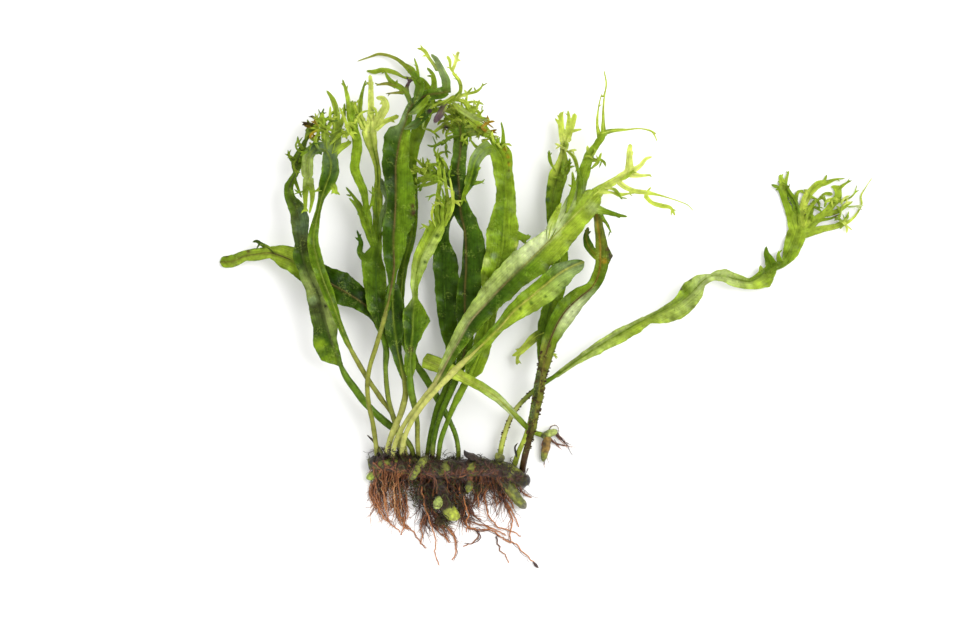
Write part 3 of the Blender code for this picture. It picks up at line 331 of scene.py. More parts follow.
def rhizome_cord():
    """Points, faces and colours of the knobbly cord, with its flat underside."""
    rows = [(*place(x, y), half * PIXEL) for x, y, half in RHIZOME_PATH]
    line = curve_through(rows, 0.55 * MM)
    half = line[:, 2]
    height = RHIZOME_HEIGHT * (0.72 + 0.28 * half / half.max())
    _, side = directions(line[:, :2])
    turn = np.arange(RHIZOME_SIDES) * 2 * math.pi / RHIZOME_SIDES
    across = np.sign(np.cos(turn)) * np.abs(np.cos(turn)) ** 0.85
    upward = np.where(np.sin(turn) < -0.45, 0.0, np.maximum(0, 0.42 + 0.58 * np.sin(turn)))
    xy = line[:, None, :2] + side[:, None, :] * (across[None, :] * half[:, None])[:, :, None]
    z = upward[None, :] * height[:, None]
    points = np.concatenate([xy.reshape(-1, 2), z.reshape(-1, 1)], axis=1)
    core = np.column_stack([line[:, :2], height * 0.4])
    free = np.clip(points[:, 2] / (1.5 * MM), 0, 1)
    bumps = noise_at(points, 3.2 * MM, 1.0) + 0.6 * noise_at(points, 1.3 * MM, 5.0)
    out = outward(points, np.repeat(core, RHIZOME_SIDES, axis=0))
    points = points + out * (bumps * 0.75 * MM * free)[:, None]
    points[:, 2] = np.maximum(points[:, 2], 0)
    points = np.concatenate([points, core[[0, -1]]])
    _, faces = tube(np.column_stack([line[:, :2], line[:, 0] * 0]), half, RHIZOME_SIDES)
    patchy = noise_at(points, 2.4 * MM, 10.0)
    green = np.zeros(len(points))
    for x, y, radius in OLIVE_PATCHES:
        px, py = place(x, y)
        near = np.hypot(points[:, 0] - px, points[:, 1] - py) / (radius * PIXEL)
        green = np.maximum(green, np.clip(1.6 - near * 1.2, 0, 1))
    green = np.clip(green + patchy * 0.8, 0, 1) * np.clip(points[:, 2] / (3 * MM), 0, 1)
    dark = np.clip(0.5 + noise_at(points, 1.5 * MM, 3.0), 0, 1)
    tint = mixed(mixed(BARK_BROWN, BARK_BLACK, dark), mixed(OLIVE, MOSS, np.clip(patchy + 0.4, 0, 1)), green)
    return points, [face[::-1] for face in faces], tint


def rounded_ends(s, blunt):
    """Shrinks both ends of a body to a round cap of this length."""
    near = np.clip(np.minimum(s, s[-1] - s) / blunt, 0, 1)
    return np.sqrt(np.maximum(1 - (1 - near) ** 2, 0.02))


def stock(build, rows, skin, bud, bud_from, lump=0.3 * MM, seed=1.0, sides=24):
    """A short thick shoot, rough and dirty where it is skin, and smooth where it is bud."""
    real = [(*place(x, y), half * PIXEL, middle * MM, thick * MM) for x, y, half, middle, thick in rows]
    line = curve_through(real, 0.45 * MM)
    s = steps_along(line[:, :2])
    cap = rounded_ends(s, min(2.2 * MM, s[-1] / 2))
    points, faces = tube(line[:, [0, 1, 3]], line[:, 2] * cap, sides)
    middle = per_point(line[:, 3], sides)
    points[:, 2] = middle + (points[:, 2] - middle) * per_point(line[:, 4] / (2 * line[:, 2]), sides)
    smooth = smooth_step((per_point(s / s[-1], sides) - bud_from) / 0.16)
    bumps = noise_at(points, 2.2 * MM, seed) + 0.6 * noise_at(points, 0.9 * MM, seed + 2)
    out = outward(points, per_point(line[:, [0, 1, 3]], sides))
    points += out * (bumps * lump * (1 - 0.8 * smooth))[:, None]
    points[:, 2] = np.maximum(points[:, 2], TABLE_GAP)
    patchy = np.clip(0.4 + 1.3 * noise_at(points, 1.6 * MM, seed + 5), 0, 1)
    tint = mixed(mixed(skin, BARK_BLACK, patchy * 0.45 * 1.6), bud, smooth)
    tint = tint * (1 + 0.3 * noise_at(points, 1.1 * MM, seed + 7))[:, None]
    build.add(points, faces, tint)


# Knobs on the rhizome: rows of pixel X, pixel Y, half width (pixels), middle height (mm) and
# thickness (mm), then the two colours, where the second begins, and how rough it is.
RHIZOME_KNOBS = [
    ([(411, 480, 3.4, 7.2, 3), (415, 472, 4.2, 8.6, 3.6), (421, 464, 4.4, 8.8, 3.6), (427, 456, 3.4, 7, 3)],
     MOSS, BUD_GREEN, 1.1, 0.2 * MM),
    ([(480, 459, 3, 6.2, 3), (472, 457, 3.6, 6.4, 3.4), (466, 454, 2.6, 6.4, 2.6), (464, 450, 1.2, 6.4, 1.2)],
     BARK_BROWN, BARK_BLACK, 0.8, 0.4 * MM),
    ([(384, 457, 1.8, 7.2, 1.6), (379, 449, 1.5, 7.4, 1.4), (374, 442, 1.3, 7.2, 1.2),
      (367, 435, 0.8, 7, 0.8)],
     OLIVE, BARK_BROWN, 0.6, 0.1 * MM),
    ([(517, 458, 1.2, 6, 1.2), (515.5, 452, 1, 6.2, 1), (515, 447, 0.9, 6.2, 0.9), (518, 443, 0.8, 6, 0.8)],
     BARK_BLACK, BARK_BROWN, 0.6, 0.1 * MM),
    ([(470, 480, 3.4, 4.6, 3.4), (469, 487, 3.8, 5, 3.6), (468, 493, 2.6, 4.4, 2.8)],
     OLIVE, MOSS, 0.4, 0.25 * MM),
    ([(521, 476, 6, 4.2, 6), (526, 482, 6, 4.2, 6), (529, 485, 5, 4.2, 5)],
     BARK_BROWN, BARK_BLACK, 0.5, 0.5 * MM),
    ([(503, 462, 6, 5, 5), (498, 456, 4.4, 5.2, 4), (496, 453, 3, 5.2, 3)],
     OLIVE, MOSS, 0.5, 0.3 * MM),
]


def rhizome():
    """The main cord with its dark cut end, and the knobs and torn scales on it."""
    build = Build()
    build.add(*rhizome_cord())
    for number, (rows, skin, bud, bud_from, lump) in enumerate(RHIZOME_KNOBS):
        stock(build, rows, skin, bud, bud_from, lump, 40.0 + number, 16)
    piece = build.made("rhizome_skin", BARK)
    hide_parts("rhizome")
    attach(piece, "root")
    return piece


# The pieces that roots and fibres lie on.
FOOT = [rhizome()]

# The fronds are strips of thin wet leaf on a stiff midrib, one for each node. A strip's middle
# line, its widths and its forks are drawn from the photograph. The blade, forks and all, is one
# closed sheet with a wavy margin, and the stem and midrib are a cord that runs up through it.
STEP_ALONG = 0.7 * MM
STEP_ACROSS = 0.8 * MM
# The narrowest half width of a blade and of a fork, then how thick the leaf is at its margin and
# how much thicker along its middle (mm).
BLADE_LEAST = 0.28 * MM
FORK_LEAST = 0.16 * MM
MARGIN_THICKNESS = 0.36
MIDDLE_THICKER = 0.2
# A ray that starts this high and goes down meets every piece.
OVERHEAD = 60 * MM


class Heights:
    """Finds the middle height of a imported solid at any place."""

    def __init__(self, node):
        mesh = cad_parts[node].data
        points = [v.co.copy() for v in mesh.vertices]
        self.tree = BVHTree.FromPolygons(points, [tuple(p.vertices) for p in mesh.polygons])

    def layers(self, x, y):
        """The middle heights of the layers of the solid at one place, from the top down."""
        hits = []
        start = OVERHEAD
        while len(hits) < 12:
            hit = self.tree.ray_cast(Vector((x, y, start)), Vector((0, 0, -1)))
            if hit[0] is None:
                break
            hits.append(hit[0].z)
            start = hit[0].z - 0.01 * MM
        return [(hits[i] + hits[i + 1]) / 2 for i in range(0, len(hits) - 1, 2)]

    def along(self, xy, start=None):
        """Heights along a line, each taken from the layer nearest to the height before it."""
        found = np.full(len(xy), np.nan)
        last = start
        for k, (x, y) in enumerate(xy):
            options = self.layers(x, y)
            if not options:
                continue
            if last is None:
                last = options[-1]
            last = min(options, key=lambda z: abs(z - last))
            found[k] = last
        known = np.flatnonzero(~np.isnan(found))
        if len(known) == 0:
            return np.full(len(xy), start if start is not None else 2 * MM)
        return np.interp(np.arange(len(xy)), known, found[known])


class Strip:
    """One strip of blade: its middle line, half widths, heights and length.

    Before is how far up the frond it begins. A fork has a tip colour, and may begin in the tip
    colour of the fork that it grows from.
    """

    before = 0.0
    fork = False
    tip = None
    base = None

    def __init__(self, rows, heights, start=None, least=BLADE_LEAST, taper_in=0.1 * MM, ruffled=0.1, cap=1.0):
        real = [(*place(*row[:2]), row[2] * PIXEL, row[-1] * PIXEL) for row in rows]
        line = curve_through(real, STEP_ALONG)
        self.xy = line[:, :2]
        self.s = steps_along(self.xy)
        self.length = self.s[-1]
        self.tangent, self.side = directions(self.xy)
        end = cap * max(line[-1, 2], line[-1, 3], 0.3 * MM)
        f = np.clip((self.s - (self.length - end)) / end, 0, 1)
        blunt = np.sqrt(np.maximum(1 - f**2, 0.01))
        margins = []
        for half, lane in ((line[:, 2], 0.0), (line[:, 3], 5.0)):
            where = np.column_stack([self.s, self.s * 0 + lane * MM, self.s * 0 + rows[0][0] * MM])
            ruffle = noise_at(where, 3.6 * MM, 3.0) + 0.5 * noise_at(where, 1.5 * MM, 8.0)
            wide = np.maximum(half, least) * (1 + ruffled * ruffle)
            margins.append(wide * blunt * (0.12 + 0.88 * smooth_step(self.s / taper_in)))
        self.left, self.right = margins
        z = heights.along(self.xy, start)
        reach = int(2.4 * MM / STEP_ALONG)
        padded = np.concatenate([np.full(reach, z[0]), z, np.full(reach, z[-1])])
        self.z = np.convolve(padded, np.ones(2 * reach + 1) / (2 * reach + 1), "valid")

    def at(self, s, values):
        """A value of this strip at a distance along it."""
        return np.interp(s, self.s, values)

    def outline(self):
        """The closed outline of the strip."""
        left = self.xy + self.side * self.left[:, None]
        right = self.xy - self.side * self.right[:, None]
        return np.concatenate([left, right[::-1]])

    def local(self, points):
        """For each point: its place along and across, the half width there, and how far it is off."""
        a = self.xy[:-1]
        run = self.xy[1:] - a
        square = (run**2).sum(axis=1)
        f = ((points[:, None, :] - a[None]) * run[None]).sum(axis=2) / square
        f = np.clip(f, 0, 1)
        gap = a[None] + f[:, :, None] * run[None] - points[:, None, :]
        off = (gap**2).sum(axis=2)
        k = off.argmin(axis=1)
        row = np.arange(len(points))
        f = f[row, k]
        distance = np.sqrt(off[row, k])
        s = self.s[k] + f * (self.s[k + 1] - self.s[k])
        cross = run[k, 0] * -gap[row, k, 1] - run[k, 1] * -gap[row, k, 0]
        to_left = cross > 0
        left = self.left[k] * (1 - f) + self.left[k + 1] * f
        right = self.right[k] * (1 - f) + self.right[k + 1] * f
        half = np.where(to_left, left, right)
        across = distance / np.maximum(half, 0.05 * MM) * np.where(to_left, 1, -1)
        return s, across, half, distance


def inside(outline, points):
    """Which points lie inside a closed outline."""
    low = outline.min(axis=0)
    high = outline.max(axis=0)
    result = np.zeros(len(points), bool)
    near = np.flatnonzero(((points >= low) & (points <= high)).all(axis=1))
    if len(near) == 0:
        return result
    p = points[near]
    a = outline
    b = np.roll(outline, -1, axis=0)
    turn = (b[:, 0] - a[:, 0]) * (p[:, 1:2] - a[:, 1]) - (p[:, 0:1] - a[:, 0]) * (b[:, 1] - a[:, 1])
    up = (a[:, 1] <= p[:, 1:2]) & (b[:, 1] > p[:, 1:2]) & (turn > 0)
    down = (a[:, 1] > p[:, 1:2]) & (b[:, 1] <= p[:, 1:2]) & (turn < 0)
    result[near] = (up.sum(axis=1) - down.sum(axis=1)) != 0
    return result


def flat_sheet(strips):
    """Points and triangles of the flat sheet that the strips cover together."""
    points = []
    edges = []
    outlines = [strip.outline() for strip in strips]
    for number, (strip, outline) in enumerate(zip(strips, outlines)):
        buried = np.zeros(len(outline), bool)
        for other, shape in enumerate(strips):
            if other == number:
                continue
            _, across, _, _ = shape.local(outline)
            buried |= inside(outlines[other], outline) & (np.abs(across) < 0.8)
        index = {}
        for k in range(len(outline)):
            if not buried[k]:
                index[k] = len(points)
                points.append(tuple(outline[k]))
        for k in range(len(outline)):
            n = (k + 1) % len(outline)
            if k in index and n in index:
                edges.append((index[k], index[n]))
        inner = []
        for k in range(1, len(strip.xy) - 1):
            for half, sign in ((strip.left[k], 1), (strip.right[k], -1)):
                count = int(half / STEP_ACROSS)
                for j in range(1, count + 1):
                    share = j / (count + 1)
                    inner.append(strip.xy[k] + strip.side[k] * sign * half * share)
            inner.append(strip.xy[k])
        inner = np.array(inner)
        keep = np.ones(len(inner), bool)
        for other in range(number):
            keep &= ~inside(outlines[other], inner)
        points.extend(tuple(p) for p in inner[keep])
    vectors = [Vector(p) for p in points]
    result = delaunay_2d_cdt(vectors, edges, [], 0, 1e-6, False)
    flat = np.array([tuple(v) for v in result[0]])
    triangles = np.array([tuple(t) for t in result[2]])
    middle = flat[triangles].mean(axis=1)
    covered = np.zeros(len(triangles), bool)
    for outline in outlines:
        todo = np.flatnonzero(~covered)
        covered[todo] = inside(outline, middle[todo])
    triangles = triangles[covered]
    used, fresh = np.unique(triangles, return_inverse=True)
    return flat[used], fresh.reshape(-1, 3)


def thickened(top, triangles, thickness):
    """Points and faces of a closed shell below a sheet's top side."""
    a, b, c = (top[triangles[:, k]] for k in range(3))
    normal = np.cross(b - a, c - a)
    if normal[:, 2].sum() < 0:
        triangles = triangles[:, ::-1]
        normal = -normal
    total = np.zeros_like(top)
    for k in range(3):
        np.add.at(total, triangles[:, k], normal)
    total /= np.linalg.norm(total, axis=1)[:, None] + 1e-15
    bottom = top - total * thickness[:, None]
    size = len(top)
    edges = np.concatenate([triangles[:, [0, 1]], triangles[:, [1, 2]], triangles[:, [2, 0]]])
    ordered = np.sort(edges, axis=1)
    _, first, count = np.unique(ordered, axis=0, return_index=True, return_counts=True)
    rim = edges[first[count == 1]]
    faces = [tuple(t) for t in triangles]
    faces += [(t[2] + size, t[1] + size, t[0] + size) for t in triangles]
    faces += [(b, a, a + size, b + size) for a, b in rim]
    return np.concatenate([top, bottom]), faces


def colour_along(stops, share):
    """The colour at each share of the length, from one colour or from stops of (share, colour)."""
    where, colours = zip(*stops) if isinstance(stops[0], tuple) else ((0,), (stops,))
    return np.column_stack([np.interp(share, where, channel) for channel in zip(*colours)])


def vein_material():
    """Thin wet leaf: blotches, slanting side veins, net veins, streaks, specks and glossy rippled wet
    patches, with painted highlight glints mixed into their colour.
    """
    material, shader, tree = material_of("wet leaf")
    mottle = with_mottle(tree, 0.62, 0.98, 420)
    run = wired(tree, "ShaderNodeAttribute", {}, attribute_name="run").outputs["Fac"]
    across = wired(tree, "ShaderNodeAttribute", {}, attribute_name="across").outputs["Fac"]
    where = wired(tree, "ShaderNodeTexCoord", {}).outputs["Object"]
    slant = calc(tree, "MULTIPLY_ADD", calc(tree, "ABSOLUTE", across), -0.9, run)
    side_vein = spread(tree, calc(tree, "SINE", calc(tree, "MULTIPLY", slant, 2.1)), 0.3, 1.0)
    cells = wired(
        tree, "ShaderNodeTexVoronoi", {"Vector": where, "Scale": 620}, feature="DISTANCE_TO_EDGE"
    ).outputs["Distance"]
    veins = calc(tree, "MULTIPLY_ADD", spread(tree, cells, 0.0, 0.16, 1.0, 0.0), 0.5, side_vein)
    pucker = noise_of(tree, where, 260, 3)
    vein_tone = spread(tree, calc(tree, "MULTIPLY", veins, pucker), 0.0, 1.0, 1.04, 0.88)
    grain = wired(
        tree, "ShaderNodeCombineXYZ",
        {"X": calc(tree, "MULTIPLY", across, 2.2), "Y": calc(tree, "MULTIPLY", run, 0.12)},
    ).outputs[0]
    streaks = spread(tree, noise_of(tree, grain, 1.0, 3), 0.3, 0.7, 0.76, 1.24)
    specks = spread(tree, noise_of(tree, where, 900), 0.66, 0.76, 1.0, 0.5)
    tone = calc(tree, "MULTIPLY", calc(tree, "MULTIPLY", streaks, specks), vein_tone)
    base = scaled(tree, mottle["Colour"], tone)
    # Wet patches are glossier and rippled, and carry a painted highlight: fine pale sheen-coloured glints
    # mixed into the base colour.
    wet = spread(tree, noise_of(tree, where, 260), 0.54, 0.66)
    ripple = noise_of(tree, where, 1500)
    painted_glint = calc(tree, "MULTIPLY", wet, spread(tree, ripple, 0.48, 0.68, 0.0, 0.26))
    sheen = (*rgb(166, 188, 84), 1)
    looks = wired(tree, "ShaderNodeMix", {0: painted_glint, 6: base, 7: sheen}, data_type="RGBA")
    ripples = calc(tree, "MULTIPLY_ADD", calc(tree, "MULTIPLY", ripple, wet), 0.3, pucker)
    height = calc(tree, "MULTIPLY_ADD", veins, -0.12, ripples)
    bump = wired(tree, "ShaderNodeBump", {"Height": height, "Strength": 0.45, "Distance": 0.5 * MM})
    gloss = calc(tree, "MULTIPLY_ADD", wet, -0.08, spread(tree, mottle["Height"], 0.35, 0.65, 0.24, 0.4))
    tree.links.new(looks.outputs[2], shader["Base Color"])
    tree.links.new(bump.outputs["Normal"], shader["Normal"])
    tree.links.new(gloss, shader["Roughness"])
    shader["Specular IOR Level"].default_value = 0.09
    shader["Subsurface Weight"].default_value = 0.12
    shader["Subsurface Radius"].default_value = (0.5, 1.0, 0.15)
    shader["Subsurface Scale"].default_value = 0.8 * MM
    return material


LEAF = vein_material()
DEEP = rgb(32, 56, 3)
FOREST = rgb(50, 78, 6)
GRASS = rgb(84, 112, 15)
FRESH = rgb(114, 140, 26)
LIME = rgb(144, 166, 46)
SUN = rgb(184, 200, 74)
GLOW = rgb(208, 218, 108)
STRAW = rgb(186, 188, 100)
OLIVE_STEM = rgb(132, 136, 56)
GREEN_STEM = rgb(90, 120, 24)
# Painted sheen: the bluish grey of light glancing off the wet leaf, laid into the colour in blade stops,
# marks and whole forks.
PAINTED_SHEEN = rgb(118, 138, 86)
MILK = rgb(198, 210, 150)
PALE = rgb(168, 186, 98)
FROST = rgb(164, 180, 108)
SAGE = rgb(140, 156, 80)
RIB_BROWN = rgb(84, 68, 34)
RIB_GREEN = rgb(98, 118, 28)
RIB_GREY = rgb(122, 112, 76)
RIB_PALE = rgb(156, 166, 72)
BROWN = rgb(66, 46, 24)
MURK = rgb(66, 74, 34)
# Painted shade with a bluish sheen, where a blade folds or bends.
FOLD_SHADE_SHEEN = rgb(82, 102, 62)
PLUM = rgb(92, 74, 80)
PURPLE = rgb(52, 38, 38)
OCHRE = rgb(146, 116, 22)


def blade_strips(whole, spine, blade_from, fold, heights, cap):
    """The blade as one strip, or as two where it bends back over itself at the fold."""
    splits = [blade_from, len(spine) - 1] if fold is None else [blade_from, fold, len(spine) - 1]
    cuts = [whole.s[np.hypot(*(whole.xy - place(*spine[i][:2])).T).argmin()] for i in splits]
    strips = []
    for cut, first, last in zip(cuts, splits, splits[1:]):
        taper_in = (2 if strips else 9) * MM
        rows = spine[first : last + 1]
        strip = Strip(rows, heights, whole.at(cut, whole.z), taper_in=taper_in, cap=cap)
        strip.z = whole.at(strip.s + cut, whole.z)
        strip.before = cut
        strips.append(strip)
    return strips


def fork_on(known, rows, tip, heights, free):
    """A fork that grows from the nearest of these strips. A free one lies on top of the blade."""
    if isinstance(rows, tuple):
        tip, rows = rows
    foot = np.array([place(*rows[0][:2])])
    nearest = min(known, key=lambda strip: strip.local(foot)[3][0] + 0.2 * MM * strip.fork)
    s = nearest.local(foot)[0][0]
    start = nearest.at(s, nearest.z)
    if free:
        rows = [(*rows[0][:2], 0.8), *rows[1:]]
    fork = Strip(rows, heights, start, FORK_LEAST, ruffled=0.16)
    ease = smooth_step(fork.s / (4 * MM))
    fork.before = nearest.before + (0 if nearest.fork else s)
    fork.fork = True
    fork.tip = tip
    fork.base = nearest.tip
    lift = random.uniform(0.5, 1.6) * MM if free else 0.0
    curl = 1.1 * MM * random.random() * np.clip(fork.length / (12 * MM), 0, 1)
    z = start * (1 - ease) + fork.z * ease + lift + curl * (fork.s / fork.length) ** 2
    fork.z = np.minimum(z, cad_box[1][2] - 0.3 * MM)
    return fork


def waves_of(strip, s, across, half, number, seed, wave, wave_length, keel):
    """How far a strip's blade rises at each point, and the painted shade that follows the waves: lighter on
    the crests, darker in the troughs.
    """
    a = np.clip(np.abs(across), 0, 1)
    left = across > 0
    phase = np.where(left, 0.0, 2.1) + seed * 1.7 + number * 0.9
    swell = np.sin(2 * math.pi * s / (wave_length * MM) + phase)
    swell = swell + 0.5 * np.sin(2 * math.pi * s / (wave_length * 0.43 * MM) + phase * 1.9)
    ripple = (0.25 if strip.fork else wave) * np.clip(half / (1.8 * MM), 0, 1)
    lift = ripple * MM * swell * a**1.6
    if not strip.fork:
        lift = lift + np.where(left, keel[0], keel[1]) * half * a
    return lift, 1 + 0.24 * np.clip(half / (3 * MM), 0, 1) * np.clip(swell, -1, 1) * a


def colour_of(strip, s, across, distance, total, blade, right, edge, rib):
    """A strip's colour at each point, darker beside the midrib and in the rib's colour on it."""
    share = (strip.before + s) / total
    if strip.fork:
        base = strip.base
        if base is None:
            base = colour_along(blade, np.full(len(s), strip.before / total))
        colour = mixed(base, strip.tip, smooth_step(1.5 * s / max(strip.length, 4 * MM)) ** 0.8)
        rib_strength = 0.25
    else:
        colour = mixed(colour_along(blade, share), colour_along(right, share), smooth_step(0.5 - across * 3))
        # Towards the margin the blade takes the edge colour: partly the leaf's own paler rim, partly a
        # painted highlight and glow along the thin curled margin.
        colour = mixed(colour, edge, 0.5 * np.clip(np.abs(across), 0, 1) ** 5)
        colour = colour * (1 - 0.3 * np.exp(-((distance / MM - 0.9) ** 2) / 0.12))[:, None]
        rib_strength = 0.7
    rib_share = np.exp(-((distance / (0.4 * MM)) ** 2)) * rib_strength
    return mixed(colour, colour_along(rib, share), rib_share)


def add_sheet(build, group, seed, waves, colours, marks):
    """A group of strips as one closed sheet. Where they meet, their heights and colours blend."""
    flat, triangles = flat_sheet(group)
    weight_sum, strongest, z, thick, run, aside = np.zeros((6, len(flat)))
    tint = np.zeros((len(flat), 3))
    for number, strip in enumerate(group):
        reach = 2 * MM + max(strip.left.max(), strip.right.max())
        low = strip.xy.min(axis=0) - reach
        high = strip.xy.max(axis=0) + reach
        near = np.flatnonzero(((flat >= low) & (flat <= high)).all(axis=1))
        if len(near) == 0:
            continue
        s, across, half, distance = strip.local(flat[near])
        inward = np.clip(1 - np.abs(across), 0, 1)
        weight = inward**1.5 + 1e-5 * np.exp(-distance / (0.5 * MM))
        if strip.fork and len(group) > 1:
            weight = weight * (0.02 + smooth_step((s - 0.5 * MM) / (3.5 * MM)))
        # Light is painted light and shade from the waves, multiplied into the colour.
        lift, light = waves_of(strip, s, across, half, number, seed, *waves)
        colour = colour_of(strip, s, across, distance, *colours)
        z[near] += weight * (strip.at(s, strip.z) + lift)
        tint[near] += weight[:, None] * colour * light[:, None]
        thick[near] += weight * (MARGIN_THICKNESS + MIDDLE_THICKER * inward) * MM
        weight_sum[near] += weight
        best = weight > strongest[near]
        run[near[best]] = (s / MM + number * 3.3)[best]
        aside[near[best]] = (distance * np.where(across > 0, 1, -1))[best] / MM
        strongest[near[best]] = weight[best]
    z /= weight_sum
    tint /= weight_sum[:, None]
    thick /= weight_sum
    surface = np.column_stack([flat, z])
    z = z + 0.16 * MM * noise_at(surface, 2.6 * MM, seed) + 0.45 * MM * noise_at(surface, 8 * MM, seed + 1)
    # Faint blotches of painted sheen over the blade.
    painted_sheen_share = np.clip(noise_at(surface, 9 * MM, seed + 6) * 1.5 - 0.3, 0, 1) * 0.03
    tint = mixed(tint, PAINTED_SHEEN, painted_sheen_share)
    tint = tint * (1 + 0.3 * noise_at(surface, 5 * MM, seed + 3))[:, None]
    for x, y, radius, colour in marks:
        px, py = place(x, y)
        far = np.hypot(flat[:, 0] - px, flat[:, 1] - py) / (radius * PIXEL)
        far = far + 0.35 * noise_at(surface, 0.9 * MM, seed + 5)
        tint = mixed(tint, colour, np.clip(1.5 - far, 0, 1))
    points, faces = thickened(np.column_stack([flat, z + thick / 2]), triangles, thick)
    points[:, 2] = np.maximum(points[:, 2], TABLE_GAP)
    build.add(points, faces, np.tile(tint, (2, 1)), np.tile(run, 2), np.tile(aside, 2))


def frond(
    name, node, blade_from, spine, lobes=(), beyond=(), over=(), *, stem=STRAW, blade, right=None,
    rib=RIB_GREEN, tufts=(), marks=(), dots=(), edge=FRESH, tip=SUN,
    keel=(0.0, 0.0), wave=0.7, wave_length=14, fold=None, cap=1.0, seed,
):
    """One frond: a blade sheet with its forks, and the stem and midrib.

    A spine row is pixel X, pixel Y, and the half width, or those to the left and right. The blade
    begins at the row blade_from. A lobe is a fork, with rows of pixel X, pixel Y and half width,
    and may begin with its own tip colour. Fold is the spine row where the blade bends back over
    itself, and the lobes in beyond grow past it. Over holds forks that lie free on top of the
    blade, and tufts holds sprays of finer ones. Blade and right are the colours of the left and
    right half from the stem up. Marks are spots of pixel X, pixel Y, radius and colour.
    """
    heights = Heights(node)
    whole = Strip(spine, heights)
    grown = blade_strips(whole, spine, blade_from, fold, heights, cap)
    groups = [[strip] for strip in grown]
    joined = [(groups[0], lobe) for lobe in laced(lobes)] + [(groups[-1], lobe) for lobe in laced(beyond)]
    free = laced(over)
    for tuft in tufts:
        free += spray(*tuft)
    for group, lobe in joined:
        group.append(fork_on(group, lobe, tip, heights, False))
        grown.append(group[-1])
    for lobe in free:
        groups.append([fork_on(grown, lobe, tip, heights, True)])
        grown += groups[-1]
    build = Build()
    waves = (wave, wave_length, keel)
    colours = (whole.length, blade, right or blade, edge, rib)
    for group in groups:
        add_sheet(build, group, seed, waves, colours, marks)
    add_stem(build, whole, grown[0].before, stem, rib, seed)
    for dot_rule in dots:
        spores(build, whole, *dot_rule)
    for strip in grown:
        if strip.fork and strip.length > 7 * MM:
            add_fork_rib(build, strip, colour_along(rib, 1)[0])
    piece = build.made(name, LEAF)
    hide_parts(node)
    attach(piece, "root")
    FOOT.append(piece)


def laced(lobes):
    """The forks, with one or two short side points near the end of each long one."""
    out = []
    for lobe in lobes:
        out.append(lobe)
        rows = lobe[1] if isinstance(lobe, tuple) else lobe
        along = steps_along(np.array(rows, float)[:, :2])
        if along[-1] < 12:
            continue
        for side in (-1, 1):
            if random.random() < 0.35:
                continue
            at = along[-1] * random.uniform(0.6, 0.9)
            x, y, half = (np.interp(at, along, [row[k] for row in rows]) for k in range(3))
            way = math.atan2(rows[-1][1] - rows[-2][1], rows[-1][0] - rows[-2][0])
            way += side * random.uniform(0.5, 1.0)
            reach = random.uniform(3.5, 7)
            wide = max(0.9, half * 0.7)
            fork = [
                (x, y, wide),
                (x + math.cos(way) * reach * 0.5, y + math.sin(way) * reach * 0.5, wide * 0.7),
                (x + math.cos(way) * reach, y + math.sin(way) * reach, 0.5),
            ]
            out.append((lobe[0], fork) if isinstance(lobe, tuple) else fork)
    return out


STEM_SIDES = 12


def add_stem(build, spine, blade_from, stem, rib, seed):
    """The stem, which goes on as a thinning midrib nearly to the end of the blade."""
    reach = spine.length * 0.94
    last = np.searchsorted(spine.s, reach)
    s = spine.s[:last]
    half = (spine.left[:last] + spine.right[:last]) / 2
    beyond = np.clip((s - blade_from - 4 * MM) / (reach - blade_from), 0, 1)
    on_blade = smooth_step((s - blade_from) / (16 * MM))
    slim = (0.42 - 0.28 * beyond) * MM
    wide = np.minimum(half * 1.04, 1.5 * MM)
    wide = wide * (1 + 0.09 * noise_at(np.column_stack([s, s * 0, s * 0]), 5 * MM, seed + 2))
    radius = wide * (1 - on_blade) + slim * on_blade
    into = smooth_step((s - 1.5 * MM) / (7 * MM))
    z = spine.z[:last] * into + 1.6 * MM * (1 - into)
    z = z + on_blade * (0.30 * MM - radius * 0.45)
    line = np.column_stack([spine.xy[:last], z])
    line[:, :2] += spine.side[:last] * (noise_at(line, 9 * MM, seed) * 0.15 * MM)[:, None]
    line[:, 2] = np.maximum(line[:, 2], radius * 0.75)
    points, faces = tube(line, radius, STEM_SIDES, 0.75)
    along = per_point(s, STEM_SIDES)
    turn = np.concatenate([np.tile(np.arange(STEM_SIDES) * 2 * math.pi / STEM_SIDES, last), [0, 0]])
    # Painted shade: the stem is darker along its sides than along its top and underside.
    side_shade = 0.86 + 0.16 * np.cos(turn * 2 + math.pi) + 0.1 * noise_at(points, 1.4 * MM, seed + 3)
    skin = colour_along(stem, along / blade_from) * side_shade[:, None]
    rib_share = per_point(on_blade, STEM_SIDES) * 0.85
    tint = mixed(skin, colour_along(rib, along / spine.length), rib_share)
    tint = tint * (1 + 0.2 * noise_at(points, 2.6 * MM, seed + 8))[:, None]
    build.add(points, faces, tint, along / MM * 0.2)


def spores(build, spine, first, last, count, aside, size):
    """Small raised dots along the stem from one share of the length to another."""
    for _ in range(count):
        s = random.uniform(first, last) * spine.length
        k = int(np.searchsorted(spine.s, s))
        wide = spine.left[k] if random.random() < 0.5 else -spine.right[k]
        middle = spine.xy[k] + spine.side[k] * wide * random.uniform(*aside)
        height = spine.z[k] + 0.55 * MM
        radius = size * random.uniform(0.6, 1.3) * MM
        level = np.array([-0.8, -0.3, 0.3, 0.8]) * radius
        line = np.column_stack([np.full(4, middle[0]), middle[1] + level, np.full(4, height)])
        points, faces = tube(line, radius * np.array([0.5, 1, 1, 0.5]), 6, 0.6)
        build.add(points, faces, np.array(BROWN) * random.uniform(0.5, 1.4))


